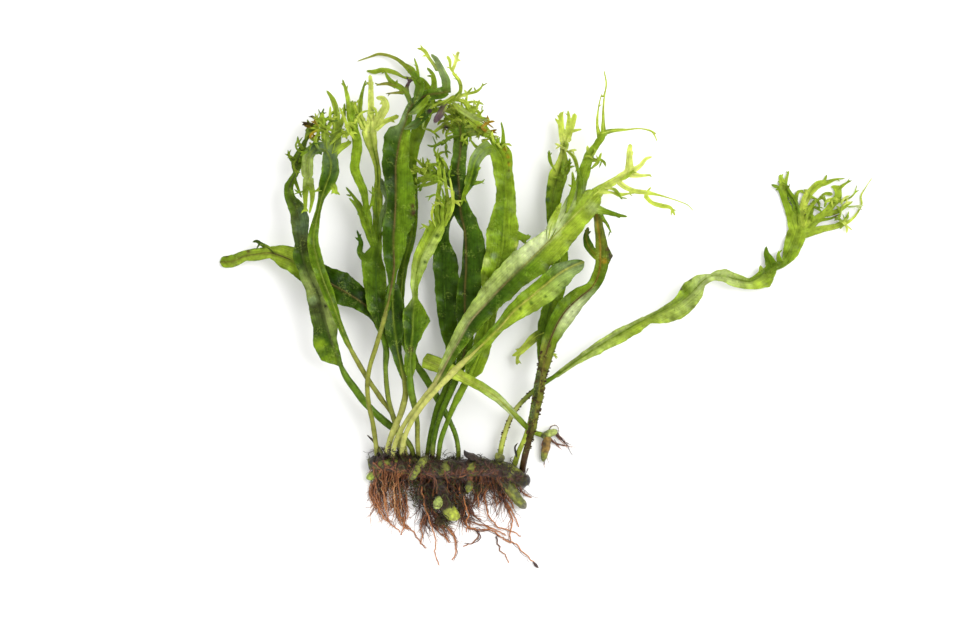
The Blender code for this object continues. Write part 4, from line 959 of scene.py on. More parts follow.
def spray(x, y, count, length, heading, fan, colours):
    """Small curling forks from about one place: length in pixels, angles in degrees."""
    forks = []
    for _ in range(count):
        way = math.radians(heading + random.uniform(-fan, fan))
        reach = length * random.uniform(0.55, 1.15)
        bend = random.uniform(-2.3, 2.3)
        at_x = x + random.uniform(-4, 4)
        at_y = y + random.uniform(-4, 4)
        wide = random.uniform(1.0, 1.8)
        rows = [(at_x, at_y, wide)]
        for step in range(1, 5):
            way += bend * 0.35
            at_x += math.cos(way) * reach / 4
            at_y -= math.sin(way) * reach / 4
            rows.append((at_x, at_y, wide * (1 - 0.19 * step) + 0.2 + (0.5 if step == 3 else 0)))
        forks.append((random.choice(colours), rows))
        if random.random() < 0.75:
            side = way + random.choice((-1, 1)) * random.uniform(0.6, 1.1)
            x2, y2, half = rows[2]
            forks.append((forks[-1][0], [
                (x2, y2, half * 0.8),
                (x2 + math.cos(side) * reach * 0.26, y2 - math.sin(side) * reach * 0.26, half * 0.7),
                (x2 + math.cos(side) * reach * 0.5, y2 - math.sin(side) * reach * 0.5, 0.5),
            ]))
    return forks


def add_fork_rib(build, strip, rib):
    """The fine raised vein along a fork."""
    last = max(4, int(len(strip.s) * 0.85))
    beyond = strip.s[:last] / strip.length
    radius = (0.24 - 0.16 * beyond) * MM
    radius = np.minimum(radius, (strip.left[:last] + strip.right[:last]) * 0.25)
    line = np.column_stack([strip.xy[:last], strip.z[:last] + 0.24 * MM - radius * 0.5])
    points, faces = tube(line, radius, 6)
    share = np.concatenate([np.repeat(beyond, 6), [0, 1]])
    build.add(points, faces, mixed(mixed(rib, strip.tip, 0.6), strip.tip, share))


# The fronds from the bottom of the pile to the top. This one lies under the big dark one, and
# only its yellow-green top, bent to the left, shows.
frond(
    "lace_frond", "frond_lace_top", 6,
    [
        (458, 466, 2.3), (458, 448, 2.3), (455, 434, 2.3), (449, 420, 2.5), (441, 405, 3.5), (433, 391, 4),
        (424, 376, 5), (416, 364, 4), (409, 350, 5), (404, 330, 6, 5), (401, 300, 6, 3), (404, 265, 5, 4),
        (411, 235, 5), (413, 205, 5), (412, 180, 5), (411, 160, 6), (413, 145, 6, 7), (418, 130, 7),
        (424, 115, 7), (430, 103, 5), (428, 92, 8, 5), (421, 82, 8, 5), (414, 77, 3),
    ],
    lobes=[
        (OLIVE_STEM, [(416, 79, 3), (411, 70, 4), (404, 64, 2.2), (396, 58, 1.8), (387, 54.5, 1.6),
                      (378, 53.5, 1.5), (370, 56, 1), (357, 60.5, 0.5)]),
        [(416, 79, 2), (403, 76.5, 1.2), (397, 73, 2), (390, 70.5, 2.5), (382, 69, 2.2), (374, 71, 2.3),
         (366, 70, 0.8)],
        [(418, 80, 2), (417, 67, 1.3), (414, 57, 0.7)],
        [(430, 104, 3), (445, 102, 2.2), (455, 98, 3), (460, 90, 1.4), (458, 80, 1), (452, 73, 0.7)],
        [(455, 99, 2), (463, 101, 2), (468, 106, 2), (471, 114, 1.4), (474, 119, 0.8)],
        [(428, 112, 3), (440, 109, 2.4), (450, 112, 1.6), (457, 119, 0.8)],
    ],
    over=[
        (PALE, [(431, 84, 1.2), (432.5, 95, 1.1), (430, 107, 1.1), (425, 118, 1.1), (422, 128, 0.8)]),
        (LIME, [(422, 128, 1.4), (430, 130, 1.2), (440, 138, 0.9)]),
    ],
    stem=((0, OLIVE_STEM), (0.3, GREEN_STEM)),
    blade=((0, GREEN_STEM), (0.4, FOREST), (0.7, GRASS), (0.9, FRESH)),
    tufts=[(462, 104, 5, 20, 30, 90, (LIME, SUN, GLOW)), (470, 116, 4, 18, 0, 80, (LIME, SUN)),
           (440, 108, 3, 16, 120, 90, (LIME, FRESH))],
    dots=[(0.03, 0.14, 14, (0.7, 1.0), 0.2)],
    tip=LIME, wave=0.4, seed=1.3,
)

# The long dark frond that reaches out to the tip at the far left.
frond(
    "left_tip_frond", "frond_left_tip", 6,
    [
        (400, 466, 2), (398, 440, 2), (394, 422, 2), (389, 405, 2), (386, 385, 2), (385, 365, 2),
        (385, 348, 2), (382, 334, 3), (376, 318, 5, 6), (366, 306, 8, 10), (352, 296, 12, 15),
        (338, 288, 16, 18), (324, 280, 17, 14), (310, 271, 14, 12), (297, 263, 12, 13), (284, 257, 11, 12),
        (270, 253, 5, 6), (258, 254, 7, 6), (245, 256, 5, 6), (232, 261, 6), (219, 262, 6),
    ],
    lobes=[
        [(274, 253, 3), (268, 248, 2.2), (261, 244, 2), (256, 241, 1.5), (252, 242, 0.8)],
    ],
    stem=((0, STRAW), (0.5, OLIVE_STEM), (1, GREEN_STEM)),
    blade=((0, GREEN_STEM), (0.4, GRASS), (0.5, FOREST), (0.65, FOREST), (0.73, FRESH), (0.8, LIME)),
    right=((0, GREEN_STEM), (0.4, FOREST), (0.5, DEEP), (0.66, DEEP), (0.73, GRASS), (0.78, LIME),
           (1, FRESH)),
    marks=[(248, 251, 2.2, BROWN), (226, 256, 1.5, BROWN), (290, 255, 5, LIME)],
    rib=RIB_BROWN, edge=GRASS, tip=FOREST, keel=(-0.08, -0.1), wave=0.9, wave_length=11, seed=2.1,
)

# The long frond that reaches far to the right and ends in a fan of lime-green threads.
frond(
    "far_right_frond", "frond_far_right", 5,
    [
        (498, 466, 2.6), (503, 440, 2.6), (508, 424, 2.5), (517, 408, 2.4), (528, 396, 2.4), (541, 385, 2.4),
        (558, 374, 2.6), (578, 360, 3.5), (598, 347, 5, 7), (618, 335, 6, 9), (635, 325, 4, 9),
        (648, 318, 3, 6), (662, 311, 3, 14), (678, 303, 6, 15), (692, 292, 12), (703, 281, 8, 5),
        (711, 276, 2, 5), (724, 276, 8, 6), (737, 279, 5, 8), (750, 281, 3, 8), (763, 275, 5, 14),
        (775, 267, 5, 4), (785, 262, 3, 4), (791, 252, 8), (797, 238, 10, 9), (801, 224, 12, 9),
    ],
    lobes=[
        (FRESH, [(796, 230, 6), (789, 208, 4), (785, 198, 3), (780, 188, 2.4), (772, 184, 1)]),
        (LIME, [(785, 200, 3), (784, 186, 3.8), (781, 174, 1.6)]),
        [(785, 186, 2.4), (790, 170, 0.7)],
        (GRASS, [(799, 226, 5), (796, 203, 3), (791, 195, 2.8), (785, 187, 1.2)]),
        [(796, 203, 2.2), (800, 191, 1.6), (805, 190, 0.8)],
        (SUN, [(802, 226, 4), (804, 203, 2.8), (808, 189, 1.8)]),
        [(805, 206, 2.6), (813, 190, 3.2), (820, 184, 3.8), (828, 182, 2.4), (836, 179, 1.2),
         (846, 178, 0.6)],
        [(825, 183, 2), (828, 174, 0.8)],
        [(805, 228, 5), (812, 210, 2.6), (815, 199, 0.9)],
        (LIME, [(805, 230, 5), (818, 219, 3.8), (828, 211, 3.4), (834, 203, 3.6), (839, 196, 4),
                (838, 188, 3), (832, 186, 1)]),
        [(836, 201, 2.6), (848, 199, 1), (855, 194, 0.7), (858, 185, 0.4)],
        [(838, 190, 2.4), (847, 183, 1.1), (853, 180, 0.6)],
        [(834, 194, 2), (827, 193, 1.6), (820, 198, 0.8)],
        (SUN, [(803, 234, 5), (822, 229, 3.4), (833, 227, 3), (843, 224, 2.6), (853, 219, 1.2),
               (860, 210, 1), (863, 203, 1.1), (862, 197, 1), (867, 187, 0.5), (873, 178, 0.3)]),
        [(843, 224, 2.4), (848, 217, 1.4), (850, 211, 0.6)],
        [(826, 214, 3.4), (838, 211, 2.6), (846, 206, 2), (854, 201, 0.7)],
        (GRASS, [(773, 269, 6), (770, 259, 4.6), (767, 252, 2.6), (767, 246, 0.9)]),
        (FRESH, [(782, 263, 3.4), (779, 256, 2.2), (780, 250, 0.7)]),
        [(763, 274, 4), (761, 265, 1)],
    ],
    over=[
        (LIME, [(806, 222, 2), (811, 208, 1.6), (818, 200, 1.4), (826, 196, 0.7)]),
        (FRESH, [(800, 214, 2), (797, 200, 1.6), (790, 190, 1.3), (786, 181, 0.6)]),
        (FRESH, [(810, 228, 2), (822, 220, 1.7), (832, 218, 1.3), (841, 214, 0.6)]),
    ],
    stem=((0, SUN), (0.5, STRAW), (1, GREEN_STEM)),
    blade=((0, FRESH), (0.3, SAGE), (0.5, SAGE), (0.64, FRESH), (0.7, FROST), (0.77, PALE), (0.81, FRESH),
           (0.86, GRASS), (0.93, FRESH), (1, LIME)),
    right=((0, FRESH), (0.3, PALE), (0.5, LIME), (0.66, SAGE), (0.7, FROST), (0.78, PALE), (0.82, LIME),
           (0.88, GRASS), (0.93, FRESH), (1, LIME)),
    tufts=[(806, 212, 3, 22, 85, 45, (LIME, FRESH)), (824, 206, 4, 20, 40, 50, (LIME, SUN)),
           (838, 220, 4, 18, 25, 40, (GLOW, LIME)), (845, 205, 3, 16, 40, 50, (GLOW, MILK))],
    marks=[(836, 215, 2, BROWN), (700, 271, 2, PURPLE), (690, 279, 2, PURPLE),
           (681, 289, 1.6, PURPLE)],
    dots=[(0.02, 0.2, 40, (0.8, 1.1), 0.32)],
    edge=LIME, tip=LIME, wave=0.8, wave_length=9, seed=3.4,
)

# The frond whose yellow forked tip stands up behind the long diagonal one.
frond(
    "right_crest_frond", "frond_right_crest", 5,
    [
        (512, 472, 2.6), (519, 452, 2.6), (525, 438, 2.5), (531, 420, 3), (535, 400, 3.4, 3), (538, 380, 3),
        (541, 362, 3), (544, 345, 8, 5), (548, 325, 10, 8), (553, 305, 10, 8), (558, 285, 8), (560, 262, 8),
        (558, 240, 8, 7), (553, 220, 6, 7), (552, 205, 6, 8), (554, 190, 8, 9), (558, 175, 9),
        (562, 162, 6, 7), (563, 152, 3), (565, 140, 5, 6),
    ],
    lobes=[
        [(564, 143, 4), (561, 125, 3), (561, 112, 2)],
        [(560, 124, 2), (555, 118, 0.8)],
        [(566, 143, 4), (569, 122, 2.4), (568, 110, 0.9)],
        [(566, 141, 4), (572, 125, 3), (575, 113, 2.2)],
        [(571, 131, 2), (582, 129, 0.7)],
        [(546, 332, 6), (537, 336, 5), (528, 344, 4), (520, 352, 3), (512, 356, 0.9)],
        [(521, 351, 2.4), (518, 356, 1.8), (517, 365, 1.4)],
        [(546, 345, 3), (552, 353, 1.4), (558, 358, 0.8)],
    ],
    over=[
        (LIME, [(566, 150, 2.4), (573, 156, 2), (577, 166, 1.8), (579, 180, 0.9)]),
        (FRESH, [(556, 172, 2.6), (550, 160, 2), (549, 150, 1)]),
        (FRESH, [(560, 182, 2.6), (568, 170, 2.2), (570, 158, 1)]),
    ],
    stem=((0.4, SUN), (1, FRESH)),
    blade=((0, FRESH), (0.4, GRASS), (0.76, GRASS), (0.84, FRESH), (0.92, SUN), (1, GLOW)),
    right=((0, FRESH), (0.4, GRASS), (0.6, FRESH), (0.76, GRASS), (0.86, FRESH), (0.93, LIME), (1, SUN)),
    tufts=[(566, 150, 4, 16, 80, 60, (LIME, GLOW)), (562, 178, 3, 20, 80, 50, (FRESH, LIME))],
    # The mark at the right is painted shade with a bluish sheen in a fold.
    marks=[(547, 200, 3, FOREST), (548, 188, 3, FOREST), (573, 190, 3, FOLD_SHADE_SHEEN)],
    wave=0.5, seed=4.2,
)

# The narrow-stemmed frond at the centre whose top bends over to the left, with a painted bluish sheen at the
# bend.
frond(
    "bent_frond", "frond_bend", 4,
    [
        (426, 466, 2.4), (429, 442, 2.3), (433, 424, 2.3), (438, 406, 3), (445, 392, 4), (449, 378, 4.5, 4),
        (451, 362, 5), (450, 345, 5, 6), (447, 325, 8, 10), (445, 300, 9, 14), (444, 278, 10, 15),
        (444, 258, 11, 13), (443, 240, 8, 6), (449, 222, 6, 1.6), (455, 206, 6, 4), (458, 194, 7, 6),
        (455, 184, 7, 5), (447, 178, 6, 5), (437, 175, 5),
    ],
    lobes=[
        [(439, 175, 4), (422, 172, 3), (413, 165, 1.2)],
        [(439, 176, 4), (424, 179, 3.4), (414, 183, 1.4)],
        [(440, 174, 4), (441, 164, 2.4), (438, 155, 1.2)],
        [(443, 178, 3), (430, 184, 2), (418, 187, 0.9)],
        [(430, 173, 2), (422, 165, 1.6), (414, 157, 0.7)],
        [(448, 176, 2.6), (446, 166, 1.6), (442, 158, 0.7)],
    ],
    over=[
        (LIME, [(436, 172, 2), (430, 166, 1.6), (427, 158, 0.8)]),
        (FRESH, [(428, 180, 2), (421, 186, 1.5), (413, 189, 0.7)]),
        (LIME, [(425, 173, 1.8), (418, 169, 1.6), (409, 170, 0.7)]),
    ],
    stem=((0, OLIVE_STEM), (0.3, GREEN_STEM), (1, GRASS)),
    blade=((0, FRESH), (0.3, GRASS), (0.5, FOREST), (0.75, FOREST), (0.88, PAINTED_SHEEN), (1, GRASS)),
    tufts=[(428, 172, 6, 20, 150, 80, (LIME, FRESH, SUN)), (440, 168, 5, 18, 100, 70, (LIME, FRESH)),
           (424, 182, 4, 14, 200, 60, (GRASS, LIME)), (450, 178, 4, 16, 70, 70, (FRESH, GRASS))],
    rib=FOREST, edge=GRASS, tip=LIME, keel=(0.08, 0.08), seed=5.9,
)

# The dark frond with a brown midrib at the centre of the pile.
frond(
    "dark_centre_frond", "frond_dark_centre", 4,
    [
        (431, 466, 2.3), (434, 440, 2.3), (439, 420, 2.5), (446, 402, 3), (453, 386, 3.4), (460, 368, 5),
        (465, 348, 7), (466, 330, 8), (465, 310, 9, 14), (465, 288, 8, 16), (466, 268, 4, 17),
        (466, 250, 3.4, 20), (465, 232, 1.4, 16), (461, 214, 7, 12), (460, 200, 8, 6), (459, 185, 9, 7),
        (458, 170, 8), (460, 155, 7), (461, 140, 8, 7), (460, 126, 8),
    ],
    lobes=[
        [(459, 128, 5), (455, 112, 3), (447, 105, 1.2)],
        [(461, 128, 5), (469, 113, 2.4), (476, 106, 0.9)],
        [(463, 130, 5), (476, 120, 3.4), (489, 119, 1)],
        [(463, 134, 5), (478, 131, 5), (493, 138, 1.6)],
        [(457, 130, 5), (446, 126, 2.4), (432, 133, 1)],
        [(458, 126, 5), (450, 117, 2.4), (443, 121, 1)],
        [(462, 122, 4), (463, 112, 2), (461, 102, 0.8)],
        [(470, 118, 2.4), (478, 115, 1.5), (484, 110, 0.6)],
    ],
    over=[
        (LIME, [(464, 128, 2), (472, 126, 1.8), (481, 126, 1.4), (489, 131, 0.7)]),
        (FRESH, [(458, 122, 2), (449, 119, 1.8), (441, 112, 1.3), (435, 111, 0.6)]),
        (LIME, [(463, 118, 2), (467, 108, 1.6), (466, 98, 0.8)]),
        (LIME, [(466, 117, 2), (475, 124, 4.6), (484, 131, 5), (491, 136, 3), (496, 140, 0.9)]),
        (GRASS, [(460, 136, 2.6), (450, 138, 2), (441, 146, 1.2)]),
        (FRESH, [(470, 140, 2.4), (478, 148, 1.8), (484, 149, 0.8)]),
    ],
    stem=((0, STRAW), (0.3, GREEN_STEM), (1, GRASS)),
    blade=((0, FRESH), (0.3, GRASS), (0.45, FOREST), (0.6, DEEP), (0.85, DEEP), (1, GRASS)),
    right=((0, FRESH), (0.3, GRASS), (0.5, FOREST), (0.85, FOREST), (1, GRASS)),
    tufts=[(462, 124, 7, 20, 60, 110, (LIME, FRESH, SUN)), (478, 130, 6, 18, 30, 80, (SUN, LIME, OCHRE)),
           (450, 128, 5, 16, 150, 80, (LIME, FRESH)), (484, 138, 4, 14, 0, 80, (GLOW, SUN)),
           (456, 112, 4, 16, 90, 80, (SUN, LIME)), (466, 142, 4, 14, 90, 120, (FRESH, LIME)),
           (448, 142, 4, 18, 210, 70, (GRASS, FRESH))],
    marks=[(443, 108, 4, PURPLE), (446, 128, 3, PURPLE), (478, 127, 1.6, OCHRE),
           (486, 131, 1.4, OCHRE)],
    rib=RIB_BROWN, edge=GRASS, tip=LIME, keel=(0.06, 0.14), wave=0.8, seed=6.1,
)

# The broad yellow-green frond that bends over to the left at the top, beside the dark one.
frond(
    "broad_frond", "frond_broad", 4,
    [
        (437, 466, 2.4), (441, 440, 2.4), (448, 420, 2.6), (455, 404, 3), (463, 388, 4.5), (473, 368, 8, 10),
        (481, 350, 9), (486, 332, 10, 7), (489, 312, 9, 8), (493, 290, 12), (498, 270, 17, 14),
        (502, 250, 16), (504, 232, 18, 16), (505, 212, 12, 11), (506, 192, 10, 9), (504, 172, 11, 9),
        (500, 155, 10, 11), (493, 147, 8), (484, 150, 7), (476, 160, 6), (472, 174, 6, 5), (468, 188, 5),
    ],
    lobes=[
        [(514, 234, 5), (525, 238, 3.4), (531, 236, 1)],
        [(522, 239, 2.4), (527, 245, 1)],
        [(499, 150, 3), (497, 138, 1.2)],
        [(503, 146, 3), (503, 133, 1.5), (501, 122, 0.8)],
        [(496, 148, 3), (489, 138, 1.2), (484, 134, 0.8)],
    ],
    beyond=[
        [(474, 172, 3), (481, 168, 0.9)],
        [(471, 184, 3), (484, 182, 0.8)],
        [(470, 184, 4), (464, 196, 2), (461, 206, 0.8)],
    ],
    stem=((0, OLIVE_STEM), (0.3, GREEN_STEM), (1, FRESH)),
    # The bluish grey stops near the fold are painted sheen.
    blade=((0, FRESH), (0.3, GRASS), (0.55, FRESH), (0.68, GRASS), (0.8, FRESH), (0.86, FRESH),
           (0.92, PAINTED_SHEEN), (0.95, FOREST)),
    right=((0.3, FRESH), (0.5, GRASS), (0.62, FRESH), (0.86, FRESH), (0.91, PAINTED_SHEEN), (0.96, GRASS)),
    tufts=[(498, 146, 3, 14, 80, 70, (LIME, SUN))],
    # The pale and bluish grey marks on the left of the blade are painted sheen.
    marks=[(517, 246, 2.6, SUN), (486, 262, 4, PALE), (494, 256, 3, PAINTED_SHEEN), (505, 150, 1.6, OCHRE),
           (508, 157, 1.6, OCHRE), (509, 165, 1.5, OCHRE), (509, 171, 1.2, BROWN),
           (500, 168, 7, FRESH)],
    rib=FRESH, edge=LIME, tip=FRESH, keel=(0.1, 0.05), wave=0.9, wave_length=12, fold=17, seed=7.7,
)

# The dark wavy frond along the left edge of the plant.
frond(
    "left_edge_frond", "frond_left_edge", 8,
    [
        (414, 466, 2.4), (411, 447, 2.6), (403, 437, 3), (393, 428, 3.5), (382, 419, 3.5), (372, 410, 3.6),
        (363, 400, 4), (355, 389, 4), (347, 378, 4, 3), (341, 366, 2.5), (337, 355, 16, 4),
        (331, 340, 19, 6), (327, 325, 14, 13), (323, 310, 13, 16), (319, 297, 12, 14), (313, 283, 10, 12),
        (307, 270, 8, 12), (303, 256, 10), (301, 243, 6, 8), (300, 232, 7, 9), (299, 220, 8, 10),
        (296, 208, 7, 9), (291, 198, 6, 5), (289, 190, 5), (292, 181, 4, 3), (296, 173, 3, 2.4),
        (297, 164, 6), (300, 155, 5), (303, 147, 3), (306, 140, 1.8), (309, 134, 4, 3), (313, 129, 3, 2),
        (317, 127, 2.6),
    ],
    lobes=[
        [(318, 128, 2.2), (311, 126, 1.4), (305, 131, 0.7)],
        [(317, 129, 2.2), (320, 118, 1.4), (324, 108, 0.7)],
        [(316, 127, 2.2), (319, 136, 1.4), (317, 143, 0.7)],
        [(294, 177, 2.4), (298, 188, 1.5), (302, 198, 0.7)],
        [(318, 126, 2), (328, 118, 1.4), (334, 111, 0.7)],
        [(298, 165, 3), (290, 158, 1.5), (288, 150, 0.7)],
        [(300, 150, 2.6), (309, 148, 1.4), (315, 141, 0.7)],
    ],
    over=[
        (LIME, [(308, 136, 1.8), (314, 140, 1.6), (321, 139, 0.8)]),
        (LIME, [(299, 158, 2), (305, 165, 1.6), (307, 174, 0.8)]),
        (SUN, [(313, 130, 1.6), (317, 121, 1.4), (315, 113, 0.7)]),
    ],
    stem=((0, OLIVE_STEM), (0.4, GREEN_STEM)),
    blade=((0, FRESH), (0.27, GRASS), (0.33, FRESH), (0.4, FOREST), (0.5, MURK), (0.56, SAGE),
           (0.62, FOREST), (0.72, MURK), (0.8, GRASS), (1, FRESH)),
    right=((0, FRESH), (0.3, GRASS), (0.38, GRASS), (0.46, SAGE), (0.55, SAGE), (0.62, GRASS), (0.66, MURK),
           (0.74, MURK), (0.8, GRASS), (1, FRESH)),
    tufts=[(314, 128, 6, 16, 110, 110, (LIME, BROWN, OCHRE, FRESH)),
           (303, 148, 3, 14, 130, 90, (FRESH, LIME)), (298, 162, 3, 16, 150, 70, (LIME, GRASS)),
           (309, 140, 3, 14, 60, 90, (OCHRE, FOREST, LIME))],
    # The two pale marks are painted glints, the bluish grey one is painted sheen, and the two in the fold are
    # painted shade with a bluish sheen.
    marks=[(325, 296, 2.4, PALE), (322, 281, 2.6, PALE), (326, 306, 1.6, PURPLE), (320, 345, 6, FRESH),
           (304, 226, 8, FOLD_SHADE_SHEEN), (305, 213, 6, FOLD_SHADE_SHEEN), (313, 300, 4, PAINTED_SHEEN)],
    rib=MURK, edge=GRASS, tip=FRESH, keel=(-0.1, 0.12), wave=1.1, wave_length=9, seed=8.4,
)

# The arching frond at the left: its top turns over and hangs down again in front.
frond(
    "left_arch_frond", "frond_left_arch", 7,
    [
        (401, 466, 2.2), (401, 446, 2.2), (399, 430, 2.2), (391, 412, 2.2), (382, 400, 2.4), (374, 388, 2.4),
        (366, 376, 2.4), (358, 362, 2.5), (350, 347, 2.6), (344, 334, 3), (339, 320, 4, 2.6),
        (334, 306, 5, 4), (328, 291, 6), (322, 275, 6), (317, 258, 7, 6), (314, 242, 6, 5), (316, 226, 5, 4),
        (319, 212, 3, 2.4), (322, 199, 3.4, 3), (327, 184, 8), (331, 172, 9), (331, 160, 9, 7),
        (326, 151, 6, 8), (317, 149, 5, 6), (310, 156, 5, 6), (308, 167, 6), (309, 180, 5, 6),
    ],
    lobes=[
        [(330, 182, 5), (335, 189, 3.2), (337, 195, 1.2)],
        [(331, 160, 6), (336, 140, 6), (337, 125, 3.8), (337, 112, 3), (333, 100, 2.4), (327, 91, 1)],
        [(333, 154, 5), (345, 146, 3), (352, 142, 1.4)],
        [(329, 156, 5), (326, 138, 3.8), (324, 125, 3), (323, 113, 1.1)],
        [(337, 133, 3), (344, 118, 2.2), (345, 104, 1)],
        [(326, 128, 2.4), (318, 118, 1)],
    ],
    beyond=[
        [(308, 178, 4), (306, 196, 2.8), (306, 212, 1.1)],
        [(310, 178, 4), (313, 196, 2.6), (310, 214, 0.9)],
    ],
    over=[
        (SUN, [(336, 128, 2), (331, 118, 1.7), (331, 107, 0.8)]),
        (LIME, [(330, 146, 2.4), (340, 136, 2), (348, 131, 0.9)]),
        (SUN, [(326, 134, 2), (331, 126, 1.6), (336, 115, 0.8)]),
        (LIME, [(321, 152, 2), (316, 142, 1.7), (319, 133, 0.8)]),
    ],
    stem=((0, STRAW), (0.4, OLIVE_STEM)),
    # The dark bluish stops at the bend are painted shade with a bluish sheen.
    blade=((0, GREEN_STEM), (0.35, GRASS), (0.72, GRASS), (0.8, FOREST), (0.87, FOLD_SHADE_SHEEN), (0.92, FOLD_SHADE_SHEEN),
           (0.95, SAGE)),
    tufts=[(334, 136, 5, 20, 100, 70, (SUN, LIME, FRESH)), (324, 130, 4, 18, 110, 80, (LIME, OCHRE, FOREST)),
           (344, 140, 4, 16, 50, 80, (LIME, SUN)), (314, 152, 4, 14, 130, 90, (FRESH, FOREST)),
           (309, 186, 3, 18, 270, 30, (FRESH, LIME))],
    tip=LIME, wave=0.5, fold=22, seed=9.2,
)

# The frond with a dark lower blade and two stands of bright yellow flat-tipped forks.
frond(
    "yellow_frond", "frond_yellow", 7,
    [
        (407, 466, 2.2), (403, 440, 2.2), (397, 425, 2.2), (392, 411, 2.2), (388.5, 398, 2.2),
        (387, 383, 2.2), (386, 368, 2.2), (387, 352, 2.5), (384, 337, 4, 3), (380, 322, 5),
        (377, 305, 10, 9), (376, 288, 12, 11), (376, 270, 14, 10), (376, 257, 13, 6), (378, 245, 5, 4),
        (378, 230, 4), (377, 212, 4, 6), (377, 196, 4, 6), (378, 180, 3), (377, 165, 3), (374, 152, 5, 4),
        (371, 138, 7, 6), (370, 126, 8, 7),
    ],
    lobes=[
        (GLOW, [(371, 128, 5), (371, 110, 3), (371, 97, 2.8), (371, 85, 2.4), (370, 75, 1.8)]),
        (GLOW, [(374, 130, 4), (382, 114, 4.4), (386, 106, 3.6), (383, 99, 2.8), (376, 98, 1.8)]),
        (SUN, [(374, 130, 4), (385, 122, 2.6), (393, 118.5, 2.2), (399, 116, 2)]),
        (FRESH, [(366, 130, 4), (360, 115, 3), (361, 100, 2), (363, 90, 1.4), (366, 80, 0.8)]),
        (FOREST, [(368, 262, 4), (360, 252, 3), (361, 243, 2.4), (357, 230, 0.8)]),
        (FRESH, [(377, 242, 3), (372, 232, 2.2), (369, 218, 3), (366, 205, 3), (364, 192, 4),
                 (359, 180, 4.6), (355, 168, 5), (357, 155, 5), (358, 143, 5), (355, 130, 4), (354, 118, 3),
                 (351, 102, 1.2)]),
        (LIME, [(356, 134, 3.4), (350, 118, 2.6), (348, 98, 2.2), (343, 80, 0.9)]),
        (FRESH, [(377, 252, 4), (371, 238, 4), (366, 225, 4.2), (361, 213, 3), (356, 205, 2),
                 (349, 198, 0.8)]),
        (FRESH, [(364, 220, 3), (359, 205, 2.3), (346, 187, 0.8)]),
        (SUN, [(364, 122, 2.4), (357, 112, 2), (355, 101, 0.9)]),
    ],
    over=[
        # This fork is coloured in the painted bluish grey sheen.
        (PAINTED_SHEEN, [(379, 236, 3), (384, 212, 3.6), (388, 200, 3), (384, 188, 3.4), (381, 178, 1)]),
        (SUN, [(358, 143, 2.6), (350, 132, 2.2), (345, 119, 1.6), (340, 108, 0.8)]),
        (FRESH, [(368, 212, 2), (373, 200, 1.8), (373, 186, 0.8)]),
    ],
    stem=((0, STRAW), (0.4, OLIVE_STEM), (1, GREEN_STEM)),
    blade=((0, GREEN_STEM), (0.35, GRASS), (0.45, FOREST), (0.62, GRASS), (0.78, FRESH), (0.88, SUN),
           (1, GLOW)),
    right=((0, GREEN_STEM), (0.35, GRASS), (0.45, FOREST), (0.62, GRASS), (0.78, LIME), (0.88, SUN),
           (1, GLOW)),
    rib=((0, RIB_GREEN), (0.3, FOREST), (0.6, FOREST), (1, FRESH)),
    tufts=[(355, 128, 4, 20, 100, 50, (SUN, LIME)), (371, 120, 2, 16, 90, 60, (SUN, GLOW))],
    keel=(0.06, 0.06), seed=10.6,
)

# A short dark frond on a pale stout stem.
frond(
    "mid_left_frond", "frond_mid_left", 4,
    [
        (384, 466, 3), (391, 438, 3), (396, 425, 3), (402, 410, 3), (405.5, 395, 3), (404.5, 380, 3),
        (401, 365, 4.6, 3), (398, 352, 6, 4), (396, 338, 10, 6), (394, 322, 9, 11), (393, 308, 9, 12),
        (393, 295, 8), (394, 282, 4, 5),
    ],
    stem=((0.5, STRAW), (1, OLIVE_STEM)),
    blade=((0, GREEN_STEM), (0.4, FRESH), (0.6, FOREST), (1, DEEP)),
    edge=GRASS, keel=(0.12, 0.12), seed=11.5,
)

